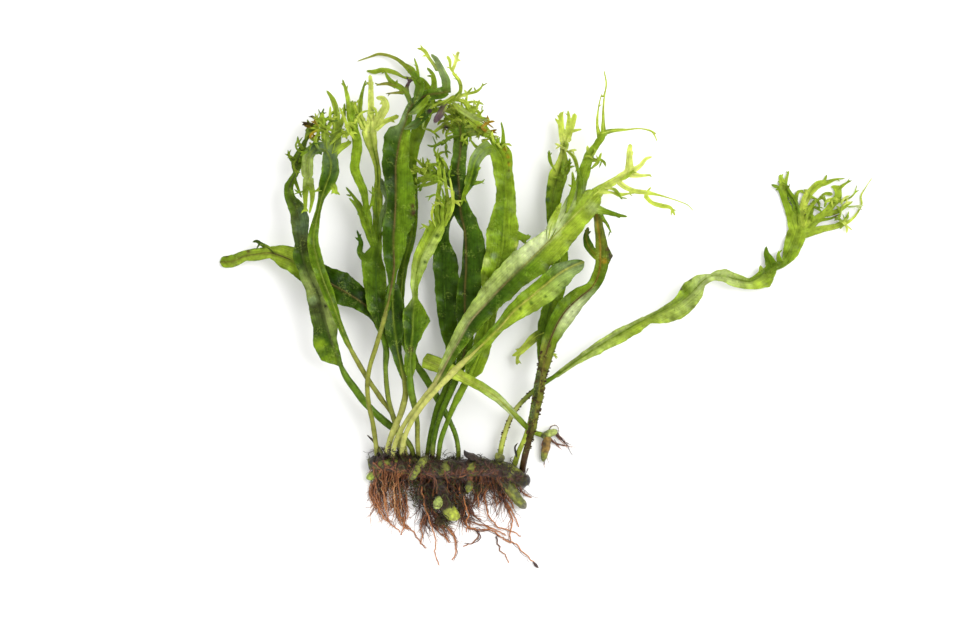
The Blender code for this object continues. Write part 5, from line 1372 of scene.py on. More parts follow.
# The frond with a kite-shaped dark lower blade, a narrow waist and a pale folded upper blade.
frond(
    "kite_frond", "frond_kite", 4,
    [
        (419, 466, 2.3), (417.5, 440, 2.3), (417, 420, 2.4), (414, 403, 3), (411, 388, 5.4, 5),
        (410, 368, 6, 5.4), (411, 352, 5), (412, 342, 8, 6), (413, 330, 9, 12), (413, 320, 10, 19),
        (414, 310, 10, 12), (415, 298, 2.4), (415, 285, 4), (417, 272, 6, 7), (421, 258, 8, 9),
        (427, 245, 8, 10), (434, 233, 8, 9), (441, 222, 7),
    ],
    lobes=[
        [(438, 226, 4), (436, 216, 2), (432, 206, 0.8)],
        [(440, 225, 4), (441, 210, 2.2), (439, 197, 0.8)],
        [(442, 227, 2), (444, 218, 3), (446, 207, 2), (446, 194, 0.8)],
        [(444, 227, 2), (447, 218, 3), (452, 207, 2), (454, 191, 0.7)],
        [(434, 228, 3), (429, 220, 1.1)],
        [(432, 232, 2.4), (425, 226, 1.2), (421, 224, 0.6)],
    ],
    over=[
        (LIME, [(440, 224, 2.6), (437, 210, 2.4), (438, 196, 2.2), (440, 182, 2.4), (439, 170, 2),
                (437, 159, 0.9)]),
        (LIME, [(445, 222, 2.2), (449, 208, 1.9), (447, 194, 1.8), (445, 180, 1.6), (444, 168, 0.8)]),
        (SUN, [(448, 222, 1.8), (453, 208, 1.4), (452, 192, 1.3), (450, 178, 0.7)]),
        (SUN, [(436, 228, 1.8), (432, 216, 1.5), (434, 204, 0.8)]),
        (FRESH, [(443, 226, 2), (442, 214, 1.8), (444, 200, 1.5), (442, 188, 0.7)]),
    ],
    stem=((0, STRAW), (0.4, OLIVE_STEM), (1, GREEN_STEM)),
    blade=((0, GREEN_STEM), (0.3, FRESH), (0.42, GRASS), (0.5, DEEP), (0.62, FOREST), (0.72, PALE),
           (0.85, LIME), (1, FRESH)),
    right=((0, GREEN_STEM), (0.3, FRESH), (0.42, GRASS), (0.5, FOREST), (0.62, GRASS), (0.72, FRESH),
           (0.85, PALE), (1, LIME)),
    tufts=[(442, 206, 4, 18, 88, 24, (SUN, LIME, FRESH)), (440, 184, 3, 14, 95, 35, (LIME, FRESH))],
    marks=[(411, 350, 2.4, BROWN), (425, 262, 1.8, DEEP), (437, 236, 2.2, DEEP)],
    tip=LIME, keel=(0.1, 0.16), seed=12.3,
)

# The big dark frond in front at the left, whose tip bends over to the right.
frond(
    "big_frond", "frond_big", 7,
    [
        (377, 466, 2.3), (376, 446, 2.3), (373, 424, 2.3), (369, 404, 2.3), (367.5, 385, 2.3),
        (370, 367, 2.3), (376, 347, 2.3), (382, 327, 2.3), (388, 305, 2.6), (392, 285, 3.2, 2.8),
        (394, 271, 8, 3.4), (394, 250, 11, 12), (394, 235, 12, 13), (395, 218, 10, 20), (396, 200, 8, 20),
        (396, 182, 11, 18), (396, 165, 14, 13), (398, 152, 15, 12), (400, 141, 16, 10), (402.5, 132, 14, 8),
        (404, 127.5, 6, 7), (406, 122, 5, 6), (409, 112, 4.4, 5), (416, 102, 5), (428, 96, 5, 6),
        (440, 94, 6), (450, 92, 6, 4),
    ],
    lobes=[
        # The first fork is coloured in the painted bluish grey sheen.
        (PAINTED_SHEEN, [(446, 95, 5), (446, 82, 4.2), (441, 70, 3.4), (436, 60, 2.6), (431, 55, 1.2)]),
        (FRESH, [(434, 95, 3.6), (434, 80, 2.6), (432, 74, 2), (427, 68.5, 1.1)]),
        (SUN, [(438, 72, 2), (433, 64, 1.8), (428, 57, 1.8), (424, 51, 2), (417, 49, 0.8)]),
        (FRESH, [(412, 108, 3), (409, 99, 2.6), (405, 92, 3), (400, 88, 2.8), (393, 84, 3), (388, 78, 1.8),
                 (385, 72, 0.8)]),
        (OLIVE_STEM, [(398, 87, 3), (388, 84.5, 1.8), (376, 86, 0.9)]),
        (OLIVE_STEM, [(405, 93, 3), (398, 93.4, 1.4), (386, 94.5, 0.5)]),
        (PLUM, [(406, 94, 3), (408, 86, 1.8), (412, 79, 0.9)]),
        (SUN, [(456, 99, 3), (461, 92, 1.5), (459.5, 81, 1.4), (454, 74, 1.2), (450.5, 69, 1.1),
               (450, 62, 1.8), (447, 56.5, 1.6)]),
        (GLOW, [(452, 72, 1.6), (455, 65, 1.7), (457, 58, 1.9), (458, 52, 1.4)]),
        (GLOW, [(456, 62, 1.6), (459, 61, 1.2), (461, 62, 0.8)]),
        (LIME, [(457, 98, 2.4), (463, 96, 1.8), (470, 94, 1.4), (477, 92, 1.4), (482, 87, 0.9),
                (483, 83, 0.5)]),
        (LIME, [(467, 95, 1.4), (470, 91, 1), (472.5, 88, 0.6)]),
    ],
    over=[
        (LIME, [(454, 96, 1.5), (446, 102, 1.4), (436, 106, 1.3), (428, 112, 1.1), (421, 122, 0.8)]),
        (LIME, [(458, 100, 2.4), (466, 103, 2), (471, 111, 1.5), (476, 114, 0.8)]),
        (SAGE, [(452, 102, 3), (460, 110, 3), (470, 116, 2.4), (482, 121, 1.4), (489, 120, 0.6)]),
        (GRASS, [(414, 106, 3), (418, 96, 4.4), (420, 86, 4.6), (416, 78, 3.6), (412, 72, 1.6)]),
        (FRESH, [(408, 116, 3), (416, 112, 3.4), (424, 104, 3), (430, 96, 1.6)]),
        (FOREST, [(404, 130, 4), (414, 126, 4), (424, 118, 3.4), (432, 110, 1.8)]),
        (PLUM, [(448, 104, 2.6), (444, 108, 3.4), (441, 114, 3.6), (437, 120, 2.8), (434, 124, 1.2)]),
    ],
    stem=((0, STRAW), (0.3, OLIVE_STEM)),
    # The bluish grey stop near the bend of the tip is painted sheen.
    blade=((0, GREEN_STEM), (0.38, GRASS), (0.5, FOREST), (0.72, DEEP), (0.8, FOREST), (0.86, PAINTED_SHEEN),
           (0.92, FOREST), (1, GRASS)),
    right=((0, GREEN_STEM), (0.38, GRASS), (0.72, GRASS), (0.8, FRESH), (0.86, GRASS), (0.92, FOREST),
           (1, GRASS)),
    marks=[(414, 213, 3, BROWN), (413, 206, 2.2, BROWN), (417, 198, 1.6, OCHRE),
           (406, 86, 2, BROWN), (440, 108, 4, PURPLE), (430, 112, 2.4, PURPLE)],
    rib=RIB_BROWN, edge=GRASS, tip=FRESH, keel=(0.12, 0.1), seed=1.0,
)

# The young plant's single strap leaf, which lies over the stems at the centre.
frond(
    "young_leaf", "plantlet_leaf", 2,
    [
        (545, 436, 2.4), (536, 433, 2.5), (528, 428, 2.8), (518, 418, 3.2), (508, 408, 3.8), (495, 396, 4.5),
        (480, 386, 5), (465, 378, 5.5, 5), (450, 370, 7, 6.5), (436, 364, 8, 7.5), (423, 359, 8.5, 7.5),
    ],
    stem=((0, LIME), (1, FRESH)),
    blade=((0, LIME), (0.28, MILK), (0.42, PALE), (0.55, LIME), (0.8, SUN), (1, LIME)),
    rib=RIB_PALE, edge=GRASS, keel=(0.1, 0.1), wave=0.4, cap=0.3, seed=13.8,
)

# The stout dark stem at the right, brown midrib dotted with black spore patches.
frond(
    "spore_frond", "frond_spore_stem", 1,
    [
        (521, 478, 3), (525, 456, 3.2), (530, 437, 3.6), (534, 418, 4.6, 4.4), (538, 398, 5, 4.6),
        (541, 378, 5), (545, 358, 6, 7), (550, 340, 8), (558, 322, 9, 12), (568, 308, 11, 12),
        (580, 297, 10, 8), (592, 287, 6), (598, 275, 6, 7), (600, 264, 5, 8), (600, 256, 5, 13),
        (600, 247, 5, 8), (599, 235, 4, 6), (597, 222, 3, 5), (596, 212, 4),
    ],
    lobes=[
        [(600, 262, 1.6), (595, 255, 4), (589, 247, 4.4), (586, 238, 3.2), (588, 227, 1.1)],
        [(597, 216, 3.2), (606, 223, 1.4), (611, 233, 0.7)],
    ],
    stem=BROWN,
    blade=((0.13, BROWN), (0.18, MURK), (0.36, MURK), (0.44, OLIVE), (0.52, GRASS), (0.75, FRESH),
           (1, OLIVE)),
    right=((0.13, BROWN), (0.18, OLIVE), (0.42, OLIVE), (0.5, FRESH), (0.62, MILK), (0.75, GRASS),
           (1, OLIVE)),
    rib=((0, BROWN), (0.3, OLIVE), (0.45, RIB_BROWN), (0.7, RIB_BROWN), (0.85, OCHRE)),
    marks=[(538, 402, 2, BROWN), (537, 411, 1.8, BROWN), (541, 391, 2, BROWN),
           (541, 381, 1.8, BROWN), (543, 369, 2, BROWN), (545, 357, 1.8, BROWN),
           (534, 421, 2, BROWN), (531, 432, 2, BROWN), (549, 346, 1.6, BROWN),
           (611, 256, 3.4, PURPLE), (607, 249, 2, BROWN), (604, 261, 2.6, OCHRE)],
    dots=[(0.1, 0.46, 90, (0.8, 1.1), 0.4), (0.1, 0.4, 50, (0.1, 0.8), 0.3)],
    edge=FOREST, tip=FOREST, keel=(0.1, 0.1), wave=0.6, seed=14.9,
)

# The long diagonal frond on top, forked into two crests with long fine threads. Its left half is painted
# pale, as painted light and sheen on the side of the keeled blade that faces the light; its right half is
# green.
frond(
    "diagonal_frond", "frond_long_diagonal", 3,
    [
        (390, 468, 2.4), (398, 436, 2.4), (410, 416, 2.4), (424, 398, 2.6), (438, 379, 3.4, 4),
        (449, 358, 6), (459, 341, 8), (470, 322, 9, 12), (484, 306, 12), (500, 289, 15, 14),
        (517, 272, 17, 16), (534, 256, 15, 20), (548, 242, 12, 20), (562, 228, 10, 18), (576, 214, 10, 15),
        (588, 202, 11, 13), (597, 192, 8),
    ],
    lobes=[
        (GLOW, [(594, 195, 6), (608, 185, 4), (618, 179, 3.6), (628, 172, 4.6), (629, 158, 3),
                (630, 144, 2.4)]),
        (GLOW, [(625, 174, 4), (640, 166, 2.2), (646, 159, 1.8), (652, 157, 0.9)]),
        (GLOW, [(628, 174, 4), (641, 176, 1.8), (651, 175, 0.8)]),
        [(616, 179, 3), (623, 186, 2.6), (632, 190.5, 2.4), (647, 193, 2.4), (657, 195, 1.2),
         (668, 198, 0.7), (680, 202, 0.6), (687, 205, 0.6), (693, 211, 0.4)],
        [(644, 195, 2.4), (652, 203, 2), (662, 206, 2.6), (670, 208, 1.8), (675, 216, 0.8)],
        (FRESH, [(550, 240, 9), (562, 218, 7.6), (571, 203, 6.6), (578, 190, 6.4), (583, 175, 6),
                 (587, 162, 5.2), (590, 154, 4.4), (596, 146, 3.4), (603, 134, 3.8)]),
        [(603, 138, 3.2), (603, 122, 1.7), (603, 110, 1.2), (604, 98, 0.9), (606, 84, 0.9), (604, 71, 0.7)],
        [(601, 134, 3), (612, 131, 2.2), (626, 130, 1.1), (641, 129, 0.7), (650, 131, 1.1), (656, 134, 0.8)],
        [(652, 132, 0.9), (655, 137, 0.8), (657, 142, 0.5)],
        [(600, 140, 3), (597, 126, 1.5), (598, 110, 0.8), (601, 95, 0.6)],
        (GRASS, [(592, 208, 6), (606, 212, 2.8), (616, 215, 2.2), (627, 217, 0.8)]),
        (GRASS, [(600, 214, 2), (605, 222, 1.4), (611, 233, 0.6)]),
        [(597, 193, 3), (612, 193, 1.1), (619, 195, 2.2), (627, 194, 1), (636, 193, 0.6)],
        [(646, 193, 1.4), (651, 187, 0.7)],
        [(589, 156, 3), (587, 146, 1.2)],
        [(591, 160, 3), (599, 161, 0.9)],
    ],
    over=[
        (LIME, [(548, 240, 4), (551, 226, 4), (556, 214, 3), (561, 203, 1)]),
        (FRESH, [(566, 214, 3), (570, 200, 2.6), (573, 186, 2.4), (572, 172, 0.9)]),
        (GRASS, [(576, 206, 3), (580, 192, 2.8), (580, 178, 2.2), (577, 166, 0.9)]),
        (LIME, [(590, 170, 2.4), (597, 163, 2), (601, 153, 0.9)]),
        (LIME, [(618, 181, 2), (625, 178, 1.8), (634, 170, 0.8)]),
        (FRESH, [(604, 188, 2.4), (614, 190, 1.8), (622, 200, 0.8)]),
    ],
    blade=((0, GREEN_STEM), (0.22, STRAW), (0.35, SAGE), (0.63, SAGE), (0.7, FROST), (0.74, MILK),
           (0.81, MILK), (0.88, FRESH), (1, LIME)),
    right=((0, GREEN_STEM), (0.22, STRAW), (0.32, GRASS), (0.45, FOREST), (0.6, FOREST), (0.72, GRASS),
           (0.82, LIME)),
    rib=((0, STRAW), (0.3, RIB_GREY), (0.5, RIB_GREY), (0.65, RIB_BROWN), (0.9, RIB_PALE), (1, LIME)),
    tufts=[(590, 158, 3, 16, 60, 60, (LIME, FRESH))],
    marks=[(592, 208, 6, SAGE), (566, 262, 4, PAINTED_SHEEN)],
    keel=(0.3, 0.12), wave=0.8, seed=15.2,
)

# The plain-tipped frond below it, on top of the pile.
frond(
    "plain_frond", "frond_plain_tip", 5,
    [
        (401, 466, 2.4), (404, 440, 2.4), (410, 425, 2.4), (421, 408, 2.4), (436, 390, 2.5),
        (452, 373, 2.6, 3.4), (470, 356, 4), (487, 340, 5, 6), (500, 327, 6, 4.6), (513, 312, 8, 11),
        (528, 299, 9, 15), (545, 285, 9, 16), (560, 273, 10, 14), (573, 266, 6, 9), (584, 262, 3, 6),
    ],
    # The bluish grey stops near the tip are painted sheen.
    blade=((0, GREEN_STEM), (0.35, STRAW), (0.5, GRASS), (0.78, FRESH), (0.88, GRASS), (0.94, PAINTED_SHEEN),
           (1, FOREST)),
    right=((0, GREEN_STEM), (0.35, STRAW), (0.5, FRESH), (0.75, LIME), (1, PAINTED_SHEEN)),
    marks=[(531, 303, 1.6, FOREST), (520, 309, 1.4, FOREST), (545, 297, 1.4, FOREST), (566, 290, 3.4, DEEP),
           (574, 283, 3, DEEP)],
    rib=rgb(150, 150, 60), edge=GRASS, keel=(0.06, -0.1), wave=0.5, seed=16.4,
)

# Three short shoots grow from the rhizome, and end in a smooth bright bud or a grey tip. A row
# is pixel X, pixel Y, half width (pixels), middle height (mm) and thickness (mm).
BUD_BRIGHT = rgb(190, 202, 62)
BUD_PALE = rgb(186, 202, 96)
CUT_GREY = rgb(128, 124, 100)
SHOOTS = {
    "rhizome_branch_right": (
        [(500, 474, 6.5, 3.4, 5.2), (508, 486, 6.5, 3.2, 5.2), (515, 496, 5.5, 3.0, 4.6),
         (521, 503, 5.0, 2.8, 4.2), (526, 509, 3.6, 2.6, 3.2)],
        MOSS, CUT_GREY, 0.8,
    ),
    "rhizome_branch_bud": (
        [(436, 476, 6, 3.4, 5.0), (442, 492, 7, 3.2, 5.4), (447, 508, 7, 3.0, 5.4),
         (453, 515, 6.8, 3.2, 5.2), (460, 518, 3.6, 3.0, 3.4)],
        BARK_BROWN, BUD_BRIGHT, 0.62,
    ),
    "rhizome_branch_left": (
        [(382, 470, 5, 3.0, 4.2), (374, 475, 5, 2.8, 4.0), (366, 479, 3.2, 2.6, 3.0)],
        OLIVE, BUD_GREEN, 0.5,
    ),
}
SMALL_BUD = [(435, 509, 4, 6.2, 4), (438, 503, 5, 6.8, 4.4), (439, 496, 3, 6.6, 3.4)]


def shoots():
    """The three shoots, each in its own node's place."""
    for number, (node, (rows, skin, bud, bud_from)) in enumerate(SHOOTS.items()):
        build = Build()
        stock(build, rows, skin, bud, bud_from, seed=20.0 + number)
        if node == "rhizome_branch_bud":
            stock(build, SMALL_BUD, BUD_PALE, BUD_PALE, 0.0, seed=26.0, sides=16)
        piece = build.made(node + "_skin", BARK)
        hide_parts(node)
        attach(piece, "root")
        FOOT.append(piece)


shoots()


# The roots are seven bundles of hair-like threads, dark red-brown where they leave the rhizome
# and orange-brown at their tips. They start on top of the rhizome, hang over its front edge and
# spread out on the table. A guide row is pixel X, pixel Y, half width (pixels), thickness (mm).
ROOT_DARK = rgb(52, 30, 24)
ROOT_RED = rgb(124, 76, 48)
ROOT_PLUM = rgb(78, 50, 48)
ROOT_ORANGE = rgb(160, 102, 58)
ROOT_TIP = rgb(184, 138, 92)


def surface_under(pieces, beyond):
    """A tree for finding how high these objects reach above a place this far down or further."""
    points = []
    faces = []
    for piece in pieces:
        start = len(points)
        corners = [v.co.copy() for v in piece.data.vertices]
        points += corners
        faces += [
            tuple(i + start for i in p.vertices)
            for p in piece.data.polygons if corners[p.vertices[0]].y < beyond
        ]
    return BVHTree.FromPolygons(points, faces)


FOOT_SURFACE = surface_under(FOOT, place(0, 440)[1])


def foot_height(x, y):
    """The top of the rhizome and its shoots above a place, or 0."""
    hit = FOOT_SURFACE.ray_cast(Vector((x, y, OVERHEAD)), Vector((0, 0, -1)))
    return 0.0 if hit[0] is None else hit[0].z


# Buds and moss that no root covers: pixel X, pixel Y and radius.
KEPT_CLEAR = [
    (437.5, 502, 3.6), (438, 497, 2.4), (453, 515, 5.6), (447, 512, 3.6), (422, 462, 3), (418, 468, 3),
    (414, 474, 3), (469, 488, 3), (388, 462, 2.6), (380, 464, 2.4), (396, 461, 1.8), (447, 468, 3),
    (443, 466, 2), (472, 467, 3), (523, 504, 5), (517, 498, 4), (511, 490, 3), (369, 478, 3),
    (507, 461, 3), (500, 463, 2),
]
CLEAR_PLACES = np.array([(*place(x, y), radius * PIXEL) for x, y, radius in KEPT_CLEAR])
# A root has its tip's colour from this far along it.
FRESH_BEYOND = 13 * MM
ROOT_SIDES = 4


def thread(build, rows, radius, layer, shade, wiggle, reach=1.0, taper=0.6):
    """One root along rows of X, Y and bundle thickness. Layer is its share of the thickness.

    It ends where it would cover a bud. It gives its line and directions, or None if it is too short.
    """
    line = curve_through(rows, 0.75 * MM)
    line = line[: max(4, int(len(line) * reach))]
    away = line[:, None, :2] - CLEAR_PLACES[None, :, :2]
    on_bud = (np.hypot(away[:, :, 0], away[:, :, 1]) < CLEAR_PLACES[:, 2]).any(axis=1)
    if on_bud.any():
        line = line[: on_bud.argmax()]
    if len(line) < 4:
        return None
    s = steps_along(line[:, :2])
    tangent, side = directions(line[:, :2])
    phase = random.random() * 40
    turns = np.column_stack([s, s * 0 + phase * MM, s * 0])
    sway = noise_at(turns, 2.6 * MM, phase) + 0.6 * noise_at(turns, 1.1 * MM, phase + 9)
    line[:, :2] += side * (sway * wiggle * np.clip(s / (3 * MM), 0, 1))[:, None]
    under = np.array([foot_height(x, y) for x, y in line[:, :2]])
    z = (line[:, 2] * layer + radius) * (1 + 0.4 * noise_at(turns, 3.4 * MM, phase + 4))
    z = np.maximum(z, np.where(under > 0, under + radius * (0.4 + 1.6 * layer), 0))
    z = np.convolve(np.concatenate([[z[0]] * 2, z, [z[-1]] * 2]), np.ones(5) / 5, "valid")
    thin = radius * (1 - taper * s / s[-1])
    line = np.column_stack([line[:, :2], np.maximum(z, thin)])
    points, faces = tube(line, thin, ROOT_SIDES)
    build.add(points, faces, mixed(*shade, per_point(np.clip(s / FRESH_BEYOND, 0, 1), ROOT_SIDES)))
    return line, tangent


def rootlets(build, line, tangent, count):
    """Fine short side roots along a thread."""
    for _ in range(count):
        k = random.randrange(2, len(line))
        angle = random.choice((-1, 1)) * random.uniform(0.5, 1.2)
        heading = Vector((tangent[k, 0], tangent[k, 1])).normalized()
        c, s = math.cos(angle), math.sin(angle)
        way = np.array([heading[0] * c - heading[1] * s, heading[0] * s + heading[1] * c])
        length = random.uniform(1.5, 4.5) * MM
        rows = []
        for f in (0, 0.35, 0.7, 1):
            bend = np.array([-way[1], way[0]]) * length * 0.3 * f * f * random.uniform(-1, 1)
            rows.append((*(line[k, :2] + way * length * f + bend), line[k, 2] * (1 - f) + 0.1 * MM))
        thread(build, rows, random.uniform(0.06, 0.1) * MM, 1.0, (ROOT_RED, ROOT_ORANGE), 0.25 * MM)


ROOT_GUIDES = {
    "roots_left": (
        (70, [(384, 472, 9, 4.4), (382, 488, 8, 3.6), (384, 502, 5, 2.2), (386, 512, 2.6, 1.2),
              (388, 521, 1.4, 0.8)]),
        (9, [(376, 476, 5, 2.4), (372, 492, 2, 1.4), (378, 508, 1.6, 1), (386, 520, 1.4, 0.8),
             (400, 533, 0.8, 0.5)]),
        (4, [(371, 478, 2, 1.6), (366, 482, 1.4, 1), (361, 481, 0.8, 0.6)]),
        (3, [(372, 484, 2, 1.6), (371, 498, 1.2, 1), (377, 510, 1, 0.8), (381, 515, 0.8, 0.5)]),
    ),
    "roots_left_long": (
        (70, [(400, 472, 9, 4.4), (397, 490, 8, 3.6), (399, 506, 5, 2.2), (404, 522, 2.4, 1.2),
              (414, 534, 1.2, 0.8), (421, 544, 1, 0.6), (426, 549, 0.8, 0.5)]),
        (5, [(402, 496, 4, 2), (405, 512, 2, 1), (404, 524, 1.4, 0.6), (401, 536, 0.8, 0.5)]),
        (4, [(394, 500, 4, 2), (396, 514, 2.4, 1.2), (402, 526, 1.6, 0.8), (407, 530, 0.8, 0.5)]),
    ),
    "roots_middle": (
        (110, [(420, 474, 10, 4.8), (421, 492, 10, 4.4), (425, 508, 8.4, 3.4), (429, 520, 5.5, 2.2),
               (433, 532, 3, 1.2), (436, 546, 1.6, 0.8), (435, 556, 1.4, 0.7), (439, 566, 0.8, 0.5)]),
        (5, [(424, 512, 4, 1.8), (421, 526, 1.8, 0.9), (422, 537, 1.2, 0.6), (420, 545, 0.9, 0.5)]),
        (5, [(430, 520, 4, 1.4), (438, 532, 1.8, 0.8), (444, 538, 1.2, 0.6), (450, 543, 0.8, 0.5)]),
        (9, [(430, 508, 5, 2.4), (439, 521, 3, 1.4), (448, 530, 2, 1), (455, 540, 1.5, 0.8),
             (456, 548, 1.3, 0.6), (455, 555, 1.2, 0.6), (452, 561, 0.8, 0.5)]),
        (3, [(434, 524, 3, 1.2), (441, 528, 2, 1), (447, 540, 1, 0.6), (448, 543, 0.8, 0.5)]),
    ),
    "roots_centre": (
        (70, [(456, 474, 9, 4.2), (460, 490, 8, 3.6), (464, 502, 5, 2.6), (467, 512, 3, 1.8),
              (467, 522, 1.8, 1), (466, 533, 0.9, 0.5)]),
        (4, [(467, 508, 2.6, 1.6), (473, 514, 1.4, 0.8), (481, 521, 0.8, 0.5)]),
        (5, [(466, 504, 4, 2), (463, 518, 2.6, 1.2), (468, 527, 2.2, 1), (480, 530, 2, 0.9),
             (492, 532, 1.8, 0.8), (503, 540, 1.5, 0.7), (517, 546, 1.2, 0.6), (528, 558, 1, 0.6),
             (538, 568, 0.8, 0.6)]),
        (4, [(462, 518, 2, 1), (476, 524, 1.8, 0.9), (488, 527, 1.6, 0.8), (498, 532, 1.2, 0.6),
             (506, 536, 1, 0.6)]),
        (3, [(474, 529, 1.6, 0.8), (479, 537, 1.1, 0.6), (472, 543, 0.9, 0.5), (463, 547, 0.8, 0.5)]),
        (1, [(496, 537, 1, 0.6), (501, 550, 1, 0.6), (507, 560, 0.8, 0.5), (510, 563, 0.6, 0.5)]),
    ),
    "roots_right": (
        (60, [(480, 472, 8, 3.6), (480, 486, 6.5, 3), (478, 497, 3.6, 1.8), (477, 508, 1.4, 0.8)]),
        (3, [(486, 484, 2, 1.8), (485, 502, 1.2, 0.9), (489, 516, 1.2, 0.7), (497, 527, 1.1, 0.6),
             (510, 531, 1, 0.6), (521, 537, 0.8, 0.5)]),
        (5, [(476, 490, 4, 1.8), (474, 502, 2, 1), (472, 508, 1, 0.6)]),
    ),
    "roots_right_fork": (
        (60, [(494, 472, 8, 3.6), (497, 488, 6.5, 3), (504, 499, 4, 1.8), (510, 509, 2, 1),
              (514, 516, 1.2, 0.6), (519, 528, 0.8, 0.5)]),
        (3, [(502, 494, 2.6, 1.4), (508, 508, 1.2, 0.7), (511, 520, 1.1, 0.6), (510, 532, 1, 0.6),
             (510, 544, 0.8, 0.5)]),
        (5, [(492, 484, 4, 2), (495, 496, 2.6, 1.2), (497, 507, 1.2, 0.7)]),
        (3, [(514, 500, 3, 1.4), (504, 505, 1.6, 0.8), (490, 512, 0.9, 0.5)]),
        (4, [(514, 500, 3, 1.4), (518, 512, 1.6, 0.8), (522, 520, 0.9, 0.5)]),
    ),
    "roots_end": (
        (10, [(517, 478, 5, 2.4), (521, 489, 2.4, 1.2), (526, 496, 1.2, 0.8), (532, 498, 0.8, 0.5)]),
    ),
}
# Loose roots that leave a bundle in any direction: pixel X and Y, spread in X and Y, and how many.
LOOSE_PLACES = {
    "roots_left": (382, 492, 9, 14, 46),
    "roots_left_long": (400, 500, 9, 18, 50),
    "roots_middle": (428, 512, 12, 14, 60),
    "roots_centre": (464, 504, 8, 14, 44),
    "roots_right": (480, 492, 8, 9, 30),
    "roots_right_fork": (502, 494, 9, 10, 36),
    "roots_end": (522, 488, 4, 4, 6),
}
# How far most roots of a bundle hang (pixels), shortest and longest.
HANG = (10, 46)
# Short curly fibres and old scales that cover the rhizome and the mat under it, for each bundle:
# pixel X and Y of the middle, the spread in X and Y (pixels), how many, and the highest (mm).
FIBRE_PLACES = {
    "roots_left": [(388, 456, 20, 10, 300, 0), (382, 480, 14, 11, 90, 3)],
    "roots_left_long": [(404, 460, 12, 10, 150, 0), (400, 482, 12, 13, 100, 3)],
    "roots_middle": [(428, 462, 16, 10, 190, 0), (424, 486, 17, 11, 270, 4.5), (432, 498, 22, 13, 420, 4),
                     (443, 518, 7, 6, 160, 2)],
    "roots_centre": [(452, 461, 12, 7, 100, 0), (456, 486, 13, 13, 240, 4.5), (460, 504, 10, 9, 110, 2.5)],
    "roots_right": [(480, 464, 12, 8, 120, 0), (480, 484, 10, 9, 110, 3)],
    "roots_right_fork": [(502, 466, 12, 8, 120, 0), (500, 486, 11, 9, 110, 3)],
    "roots_end": [(520, 478, 7, 7, 50, 0)],
}
MOSS_DARK = rgb(52, 56, 20)
FIBRE_SHADES = [
    (ROOT_DARK, ROOT_DARK), (ROOT_DARK, ROOT_RED), (BARK_BLACK, BARK_BROWN), (BARK_BLACK, BARK_BLACK),
    (ROOT_DARK, BARK_BROWN), (BARK_BROWN, OLIVE), (MOSS_DARK, MOSS_DARK), (MOSS_DARK, OLIVE),
]


def fibres(build, places):
    """Short curly threads in every direction, lying on what is under them."""
    for x, y, spread_x, spread_y, count, high in places:
        for _ in range(count):
            at_x = x + random.triangular(-spread_x, spread_x)
            at_y = y + random.triangular(-spread_y, spread_y)
            way = random.uniform(0, 2 * math.pi)
            turn = random.uniform(-1.2, 1.2)
            step = random.uniform(1.2, 3.6)
            rows = []
            level = random.random() * high * MM
            for _ in range(4):
                rows.append((*place(at_x, at_y), level))
                at_x += math.cos(way) * step
                at_y += math.sin(way) * step + 0.6
                way += turn
                level = max(0, level + random.uniform(-0.4, 0.4) * MM)
            radius = (0.1 + 0.2 * random.random() ** 2) * MM
            thread(build, rows, radius, 1.0, random.choice(FIBRE_SHADES), 0.3 * MM)


def loose_roots(build, shades, x, y, spread_x, spread_y, count):
    """Thin roots that curve out of the mat and down to the table."""
    for _ in range(count):
        at_x = x + random.triangular(-spread_x, spread_x)
        at_y = y + random.triangular(-spread_y, spread_y)
        way = math.radians(random.triangular(-75, 75))
        turn = random.uniform(-0.4, 0.4)
        step = random.uniform(3, 7)
        rows = []
        for number in range(5):
            rows.append((*place(at_x, at_y), max(0.2, 1.6 - 0.5 * number) * MM))
            at_x += math.sin(way) * step
            at_y += math.cos(way) * step
            way += turn
        radius = random.uniform(0.08, 0.17) * MM
        thread(build, rows, radius, random.random(), random.choice(shades), 0.4 * MM)


# The left bundles are a fresh red-brown, and the others are older and darker.
ROOT_SHADES = [
    (ROOT_DARK, ROOT_ORANGE), (ROOT_RED, ROOT_ORANGE), (ROOT_RED, ROOT_TIP), (ROOT_RED, ROOT_RED),
    (ROOT_ORANGE, ROOT_TIP), (ROOT_DARK, ROOT_RED), (ROOT_RED, ROOT_ORANGE), (ROOT_PLUM, ROOT_RED),
]
OLD_ROOT_SHADES = [
    (ROOT_DARK, ROOT_RED), (ROOT_DARK, ROOT_ORANGE), (BARK_BLACK, ROOT_RED), (ROOT_PLUM, ROOT_RED),
    (ROOT_PLUM, ROOT_PLUM), (ROOT_DARK, ROOT_DARK), (ROOT_PLUM, ROOT_ORANGE), (ROOT_RED, ROOT_ORANGE),
]
# The swollen dark end of the longest root, in the rows that stock() reads.
ROOT_END_KNOB = [(533, 562, 0.9, 0.6, 0.7), (536, 566, 1.7, 0.7, 1.2), (539, 569, 0.8, 0.5, 0.7)]


def root_material():
    """Thin wet woody thread."""
    material, shader, tree = material_of("root skin")
    tree.links.new(with_mottle(tree, 0.7, 1.3, 900)["Colour"], shader["Base Color"])
    shader["Roughness"].default_value = 0.45
    return material


ROOT_SKIN = root_material()
LEADING_ROOT_RADIUS = 0.34 * MM


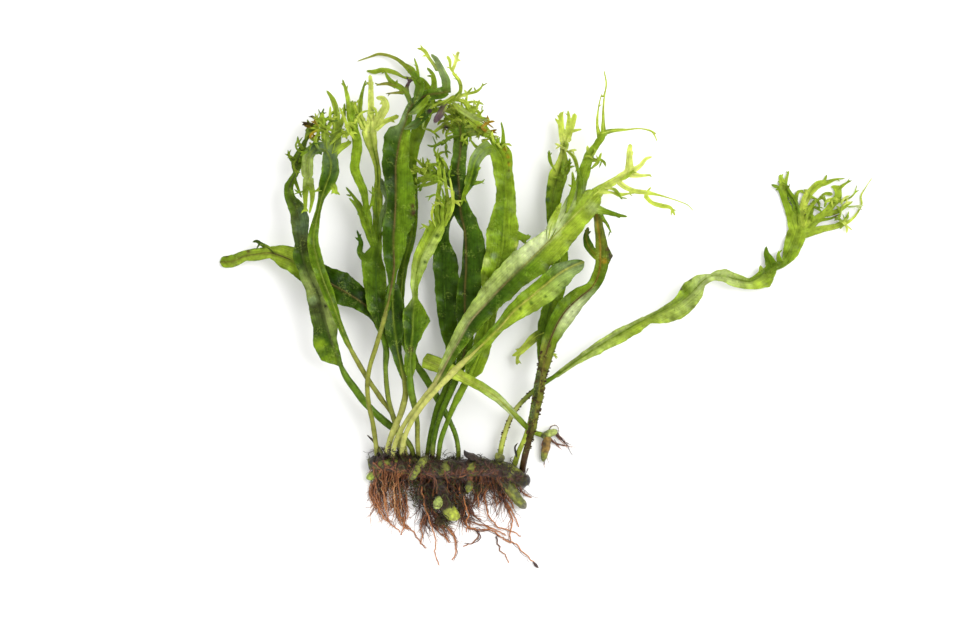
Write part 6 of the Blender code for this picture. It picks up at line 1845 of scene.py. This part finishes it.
def guided_roots(build, guide, count, back, shades):
    """Roots along one guide. The first is thick, the first two reach its end, the rest hang short.

    Back is how far up the rhizome, in pixels, the roots of a bundle's main guide begin. Those of
    its side guides begin in the bundle.
    """
    length = steps_along(np.array(guide)[:, :2])[-1]
    for number in range(count):
        lean = random.uniform(-1, 1) if number else 0.0
        rows = []
        if back:
            x, y = guide[0][:2]
            up = random.uniform(*back)
            start = lean + random.uniform(-0.3, 0.3)
            rows.append((*place(x + start * 11, y - 2 - up), guide[0][3] * MM))
        drift = lean
        stray = 0.6 if number else 0.1
        for x, y, half, thick in guide:
            drift = max(-1.4, min(1.4, drift + random.uniform(-stray, stray)))
            aside = drift * (half * 1.1 + 0.5)
            rows.append((*place(x + aside, y + 3 * random.uniform(-stray, stray)), thick * MM))
        reach = 1.0
        if number > 1:
            hang = HANG[0] + (HANG[1] - HANG[0]) * random.random() ** 1.3
            reach = min(1, hang / length if back else random.uniform(0.35, 0.95))
        radius = (0.1 + 0.2 * random.random() ** 1.6) * MM if number else LEADING_ROOT_RADIUS
        wiggle = random.uniform(0.4, 1.1) * MM
        shade = random.choice(shades) if number else (ROOT_DARK, ROOT_ORANGE)
        taper = 0.6 if number else 0.35
        made = thread(build, rows, radius, random.random(), shade, wiggle, reach, taper)
        if made and random.random() < 0.4:
            rootlets(build, *made, 2)


def roots():
    """The seven bundles, each with its guided and loose roots and the fibres around them."""
    for node, guides in ROOT_GUIDES.items():
        build = Build()
        fresh = "left" in node
        shades = ROOT_SHADES if fresh else OLD_ROOT_SHADES
        back = (-2, 11) if fresh else (-7, 8)
        for order, (count, guide) in enumerate(guides):
            guided_roots(build, guide, count, None if order else back, shades)
        loose_roots(build, shades, *LOOSE_PLACES[node])
        if node == "roots_centre":
            stock(build, ROOT_END_KNOB, ROOT_DARK, ROOT_PLUM, 0.8, 0.05 * MM, sides=10)
        fibres(build, FIBRE_PLACES[node])
        piece = build.made(node + "_threads", ROOT_SKIN)
        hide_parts(node)
        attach(piece, "root")


roots()

# The young plant at the right, rooted loosely in the pile: a small knobbly stock that forks, ochre
# and moss green with pale ends, and short thin roots. Its one leaf is made with the fronds.
STOCK_OCHRE = rgb(170, 132, 44)
YOUNG_STOCK = [
    ([(541, 437, 3, 2.4, 3.0), (549, 434, 4, 2.4, 3.6), (558, 431, 3.2, 2.2, 3.0)],
     MOSS, BUD_PALE, 0.3),
    ([(548, 434, 4, 2.2, 3.6), (546, 448, 4.4, 1.8, 3.4), (543, 462, 2.8, 1.3, 2.4)],
     STOCK_OCHRE, MOSS, 0.6),
]
YOUNG_ROOTS = [
    (9, [(549, 438, 2.4, 1.6), (556, 444, 1.4, 0.9), (566, 446, 1.2, 0.8), (576, 448, 0.8, 0.5)]),
    (6, [(555, 432, 2.2, 1.6), (560, 438, 1.2, 0.8), (567, 446, 1.2, 0.7), (573, 457, 0.8, 0.5)]),
    (5, [(556, 434, 2, 1.4), (563, 440, 1.4, 0.8), (572, 446, 0.8, 0.5)]),
    (4, [(552, 440, 2, 1.2), (557, 445, 1.2, 0.8), (562, 450, 0.8, 0.5)]),
    (3, [(549, 434, 1, 3.6), (551, 427, 1, 3), (557, 426, 1, 2.4), (559, 431, 1, 1.6), (556, 437, 1, 1)]),
    (4, [(546, 436, 2, 3.4), (542, 446, 1.4, 2.4), (546, 456, 1.2, 1.6), (549, 464, 1, 0.5)]),
    (4, [(546, 456, 2, 1.2), (544, 463, 1.4, 0.8), (545, 469, 0.8, 0.5)]),
]
YOUNG_ROOT_SHADES = [(ROOT_DARK, ROOT_RED), (ROOT_RED, ROOT_ORANGE), (ROOT_DARK, ROOT_DARK)]


def young_plant():
    """The stock and the roots of the young plant."""
    build = Build()
    for number, (rows, skin, bud, bud_from) in enumerate(YOUNG_STOCK):
        stock(build, rows, skin, bud, bud_from, 0.22 * MM, 30.0 + number, 18)
    piece = build.made("young_stock", BARK)
    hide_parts("plantlet_rhizome")
    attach(piece, "root")
    build = Build()
    for count, guide in YOUNG_ROOTS:
        for number in range(count):
            lean = random.uniform(-1, 1) if number else 0.0
            rows = [(*place(x + lean * half * 1.3, y), thick * MM) for x, y, half, thick in guide]
            reach = random.uniform(0.4, 1) if number else 1.0
            shade = random.choice(YOUNG_ROOT_SHADES)
            thread(build, rows, random.uniform(0.12, 0.2) * MM, random.random(), shade, 0.4 * MM, reach)
    piece = build.made("young_roots", ROOT_SKIN)
    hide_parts("plantlet_roots")
    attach(piece, "root")


young_plant()

# The surface, camera and light: a plain white table top, a camera straight above as in the
# photograph, a large soft light from the right, and light from all round.
CAMERA_LENS = 250
SENSOR = 36
VIEW_WIDTH = 960 * PIXEL
LOOK_AT = place(480, 320)
# The height at which a pixel of the photograph is exactly PIXEL wide.
TRUE_HEIGHT = 9 * MM
TABLE_REACH = 3.0


def studio():
    """The floor, the camera above the photograph's middle, and the lights."""
    mesh = bpy.data.meshes.new("table")
    corners = [(x * TABLE_REACH, y * TABLE_REACH, 0) for x, y in ((-1, -1), (1, -1), (1, 1), (-1, 1))]
    mesh.from_pydata(corners, [], [(0, 1, 2, 3)])
    table = bpy.data.objects.new("table", mesh)
    bpy.context.scene.collection.objects.link(table)
    white, shader, _ = material_of("white table")
    shader["Base Color"].default_value = (0.9, 0.895, 0.885, 1)
    shader["Roughness"].default_value = 0.8
    shader["Specular IOR Level"].default_value = 0.1
    mesh.materials.append(white)
    data = bpy.data.cameras.new("camera")
    data.lens = CAMERA_LENS
    data.sensor_width = SENSOR
    data.clip_end = 20
    camera = bpy.data.objects.new("camera", data)
    bpy.context.scene.collection.objects.link(camera)
    camera.location = (*LOOK_AT, TRUE_HEIGHT + VIEW_WIDTH * CAMERA_LENS / SENSOR)
    bpy.context.scene.camera = camera
    world = bpy.data.worlds.new("soft light")
    bpy.context.scene.world = world
    world.use_nodes = True
    tree = world.node_tree
    toward = wired(tree, "ShaderNodeTexCoord", {}).outputs["Generated"]
    height = wired(tree, "ShaderNodeSeparateXYZ", {0: toward}).outputs["Z"]
    dome = wired(
        tree, "ShaderNodeMapRange",
        {"Value": height, "From Min": 0.5, "From Max": 0.88, "To Min": 1.9, "To Max": 0.52},
        interpolation_type="SMOOTHSTEP",
    )
    background = tree.nodes["Background"].inputs
    tree.links.new(dome.outputs[0], background["Strength"])
    background["Color"].default_value = (1, 1, 1, 1)
    lamp = bpy.data.lights.new("key", "SUN")
    lamp.energy = 2.1
    lamp.angle = math.radians(40)
    key = bpy.data.objects.new("key", lamp)
    bpy.context.scene.collection.objects.link(key)
    key.rotation_euler = (math.radians(-14), math.radians(36), 0)
    bpy.context.scene.view_settings.view_transform = "Standard"


studio()
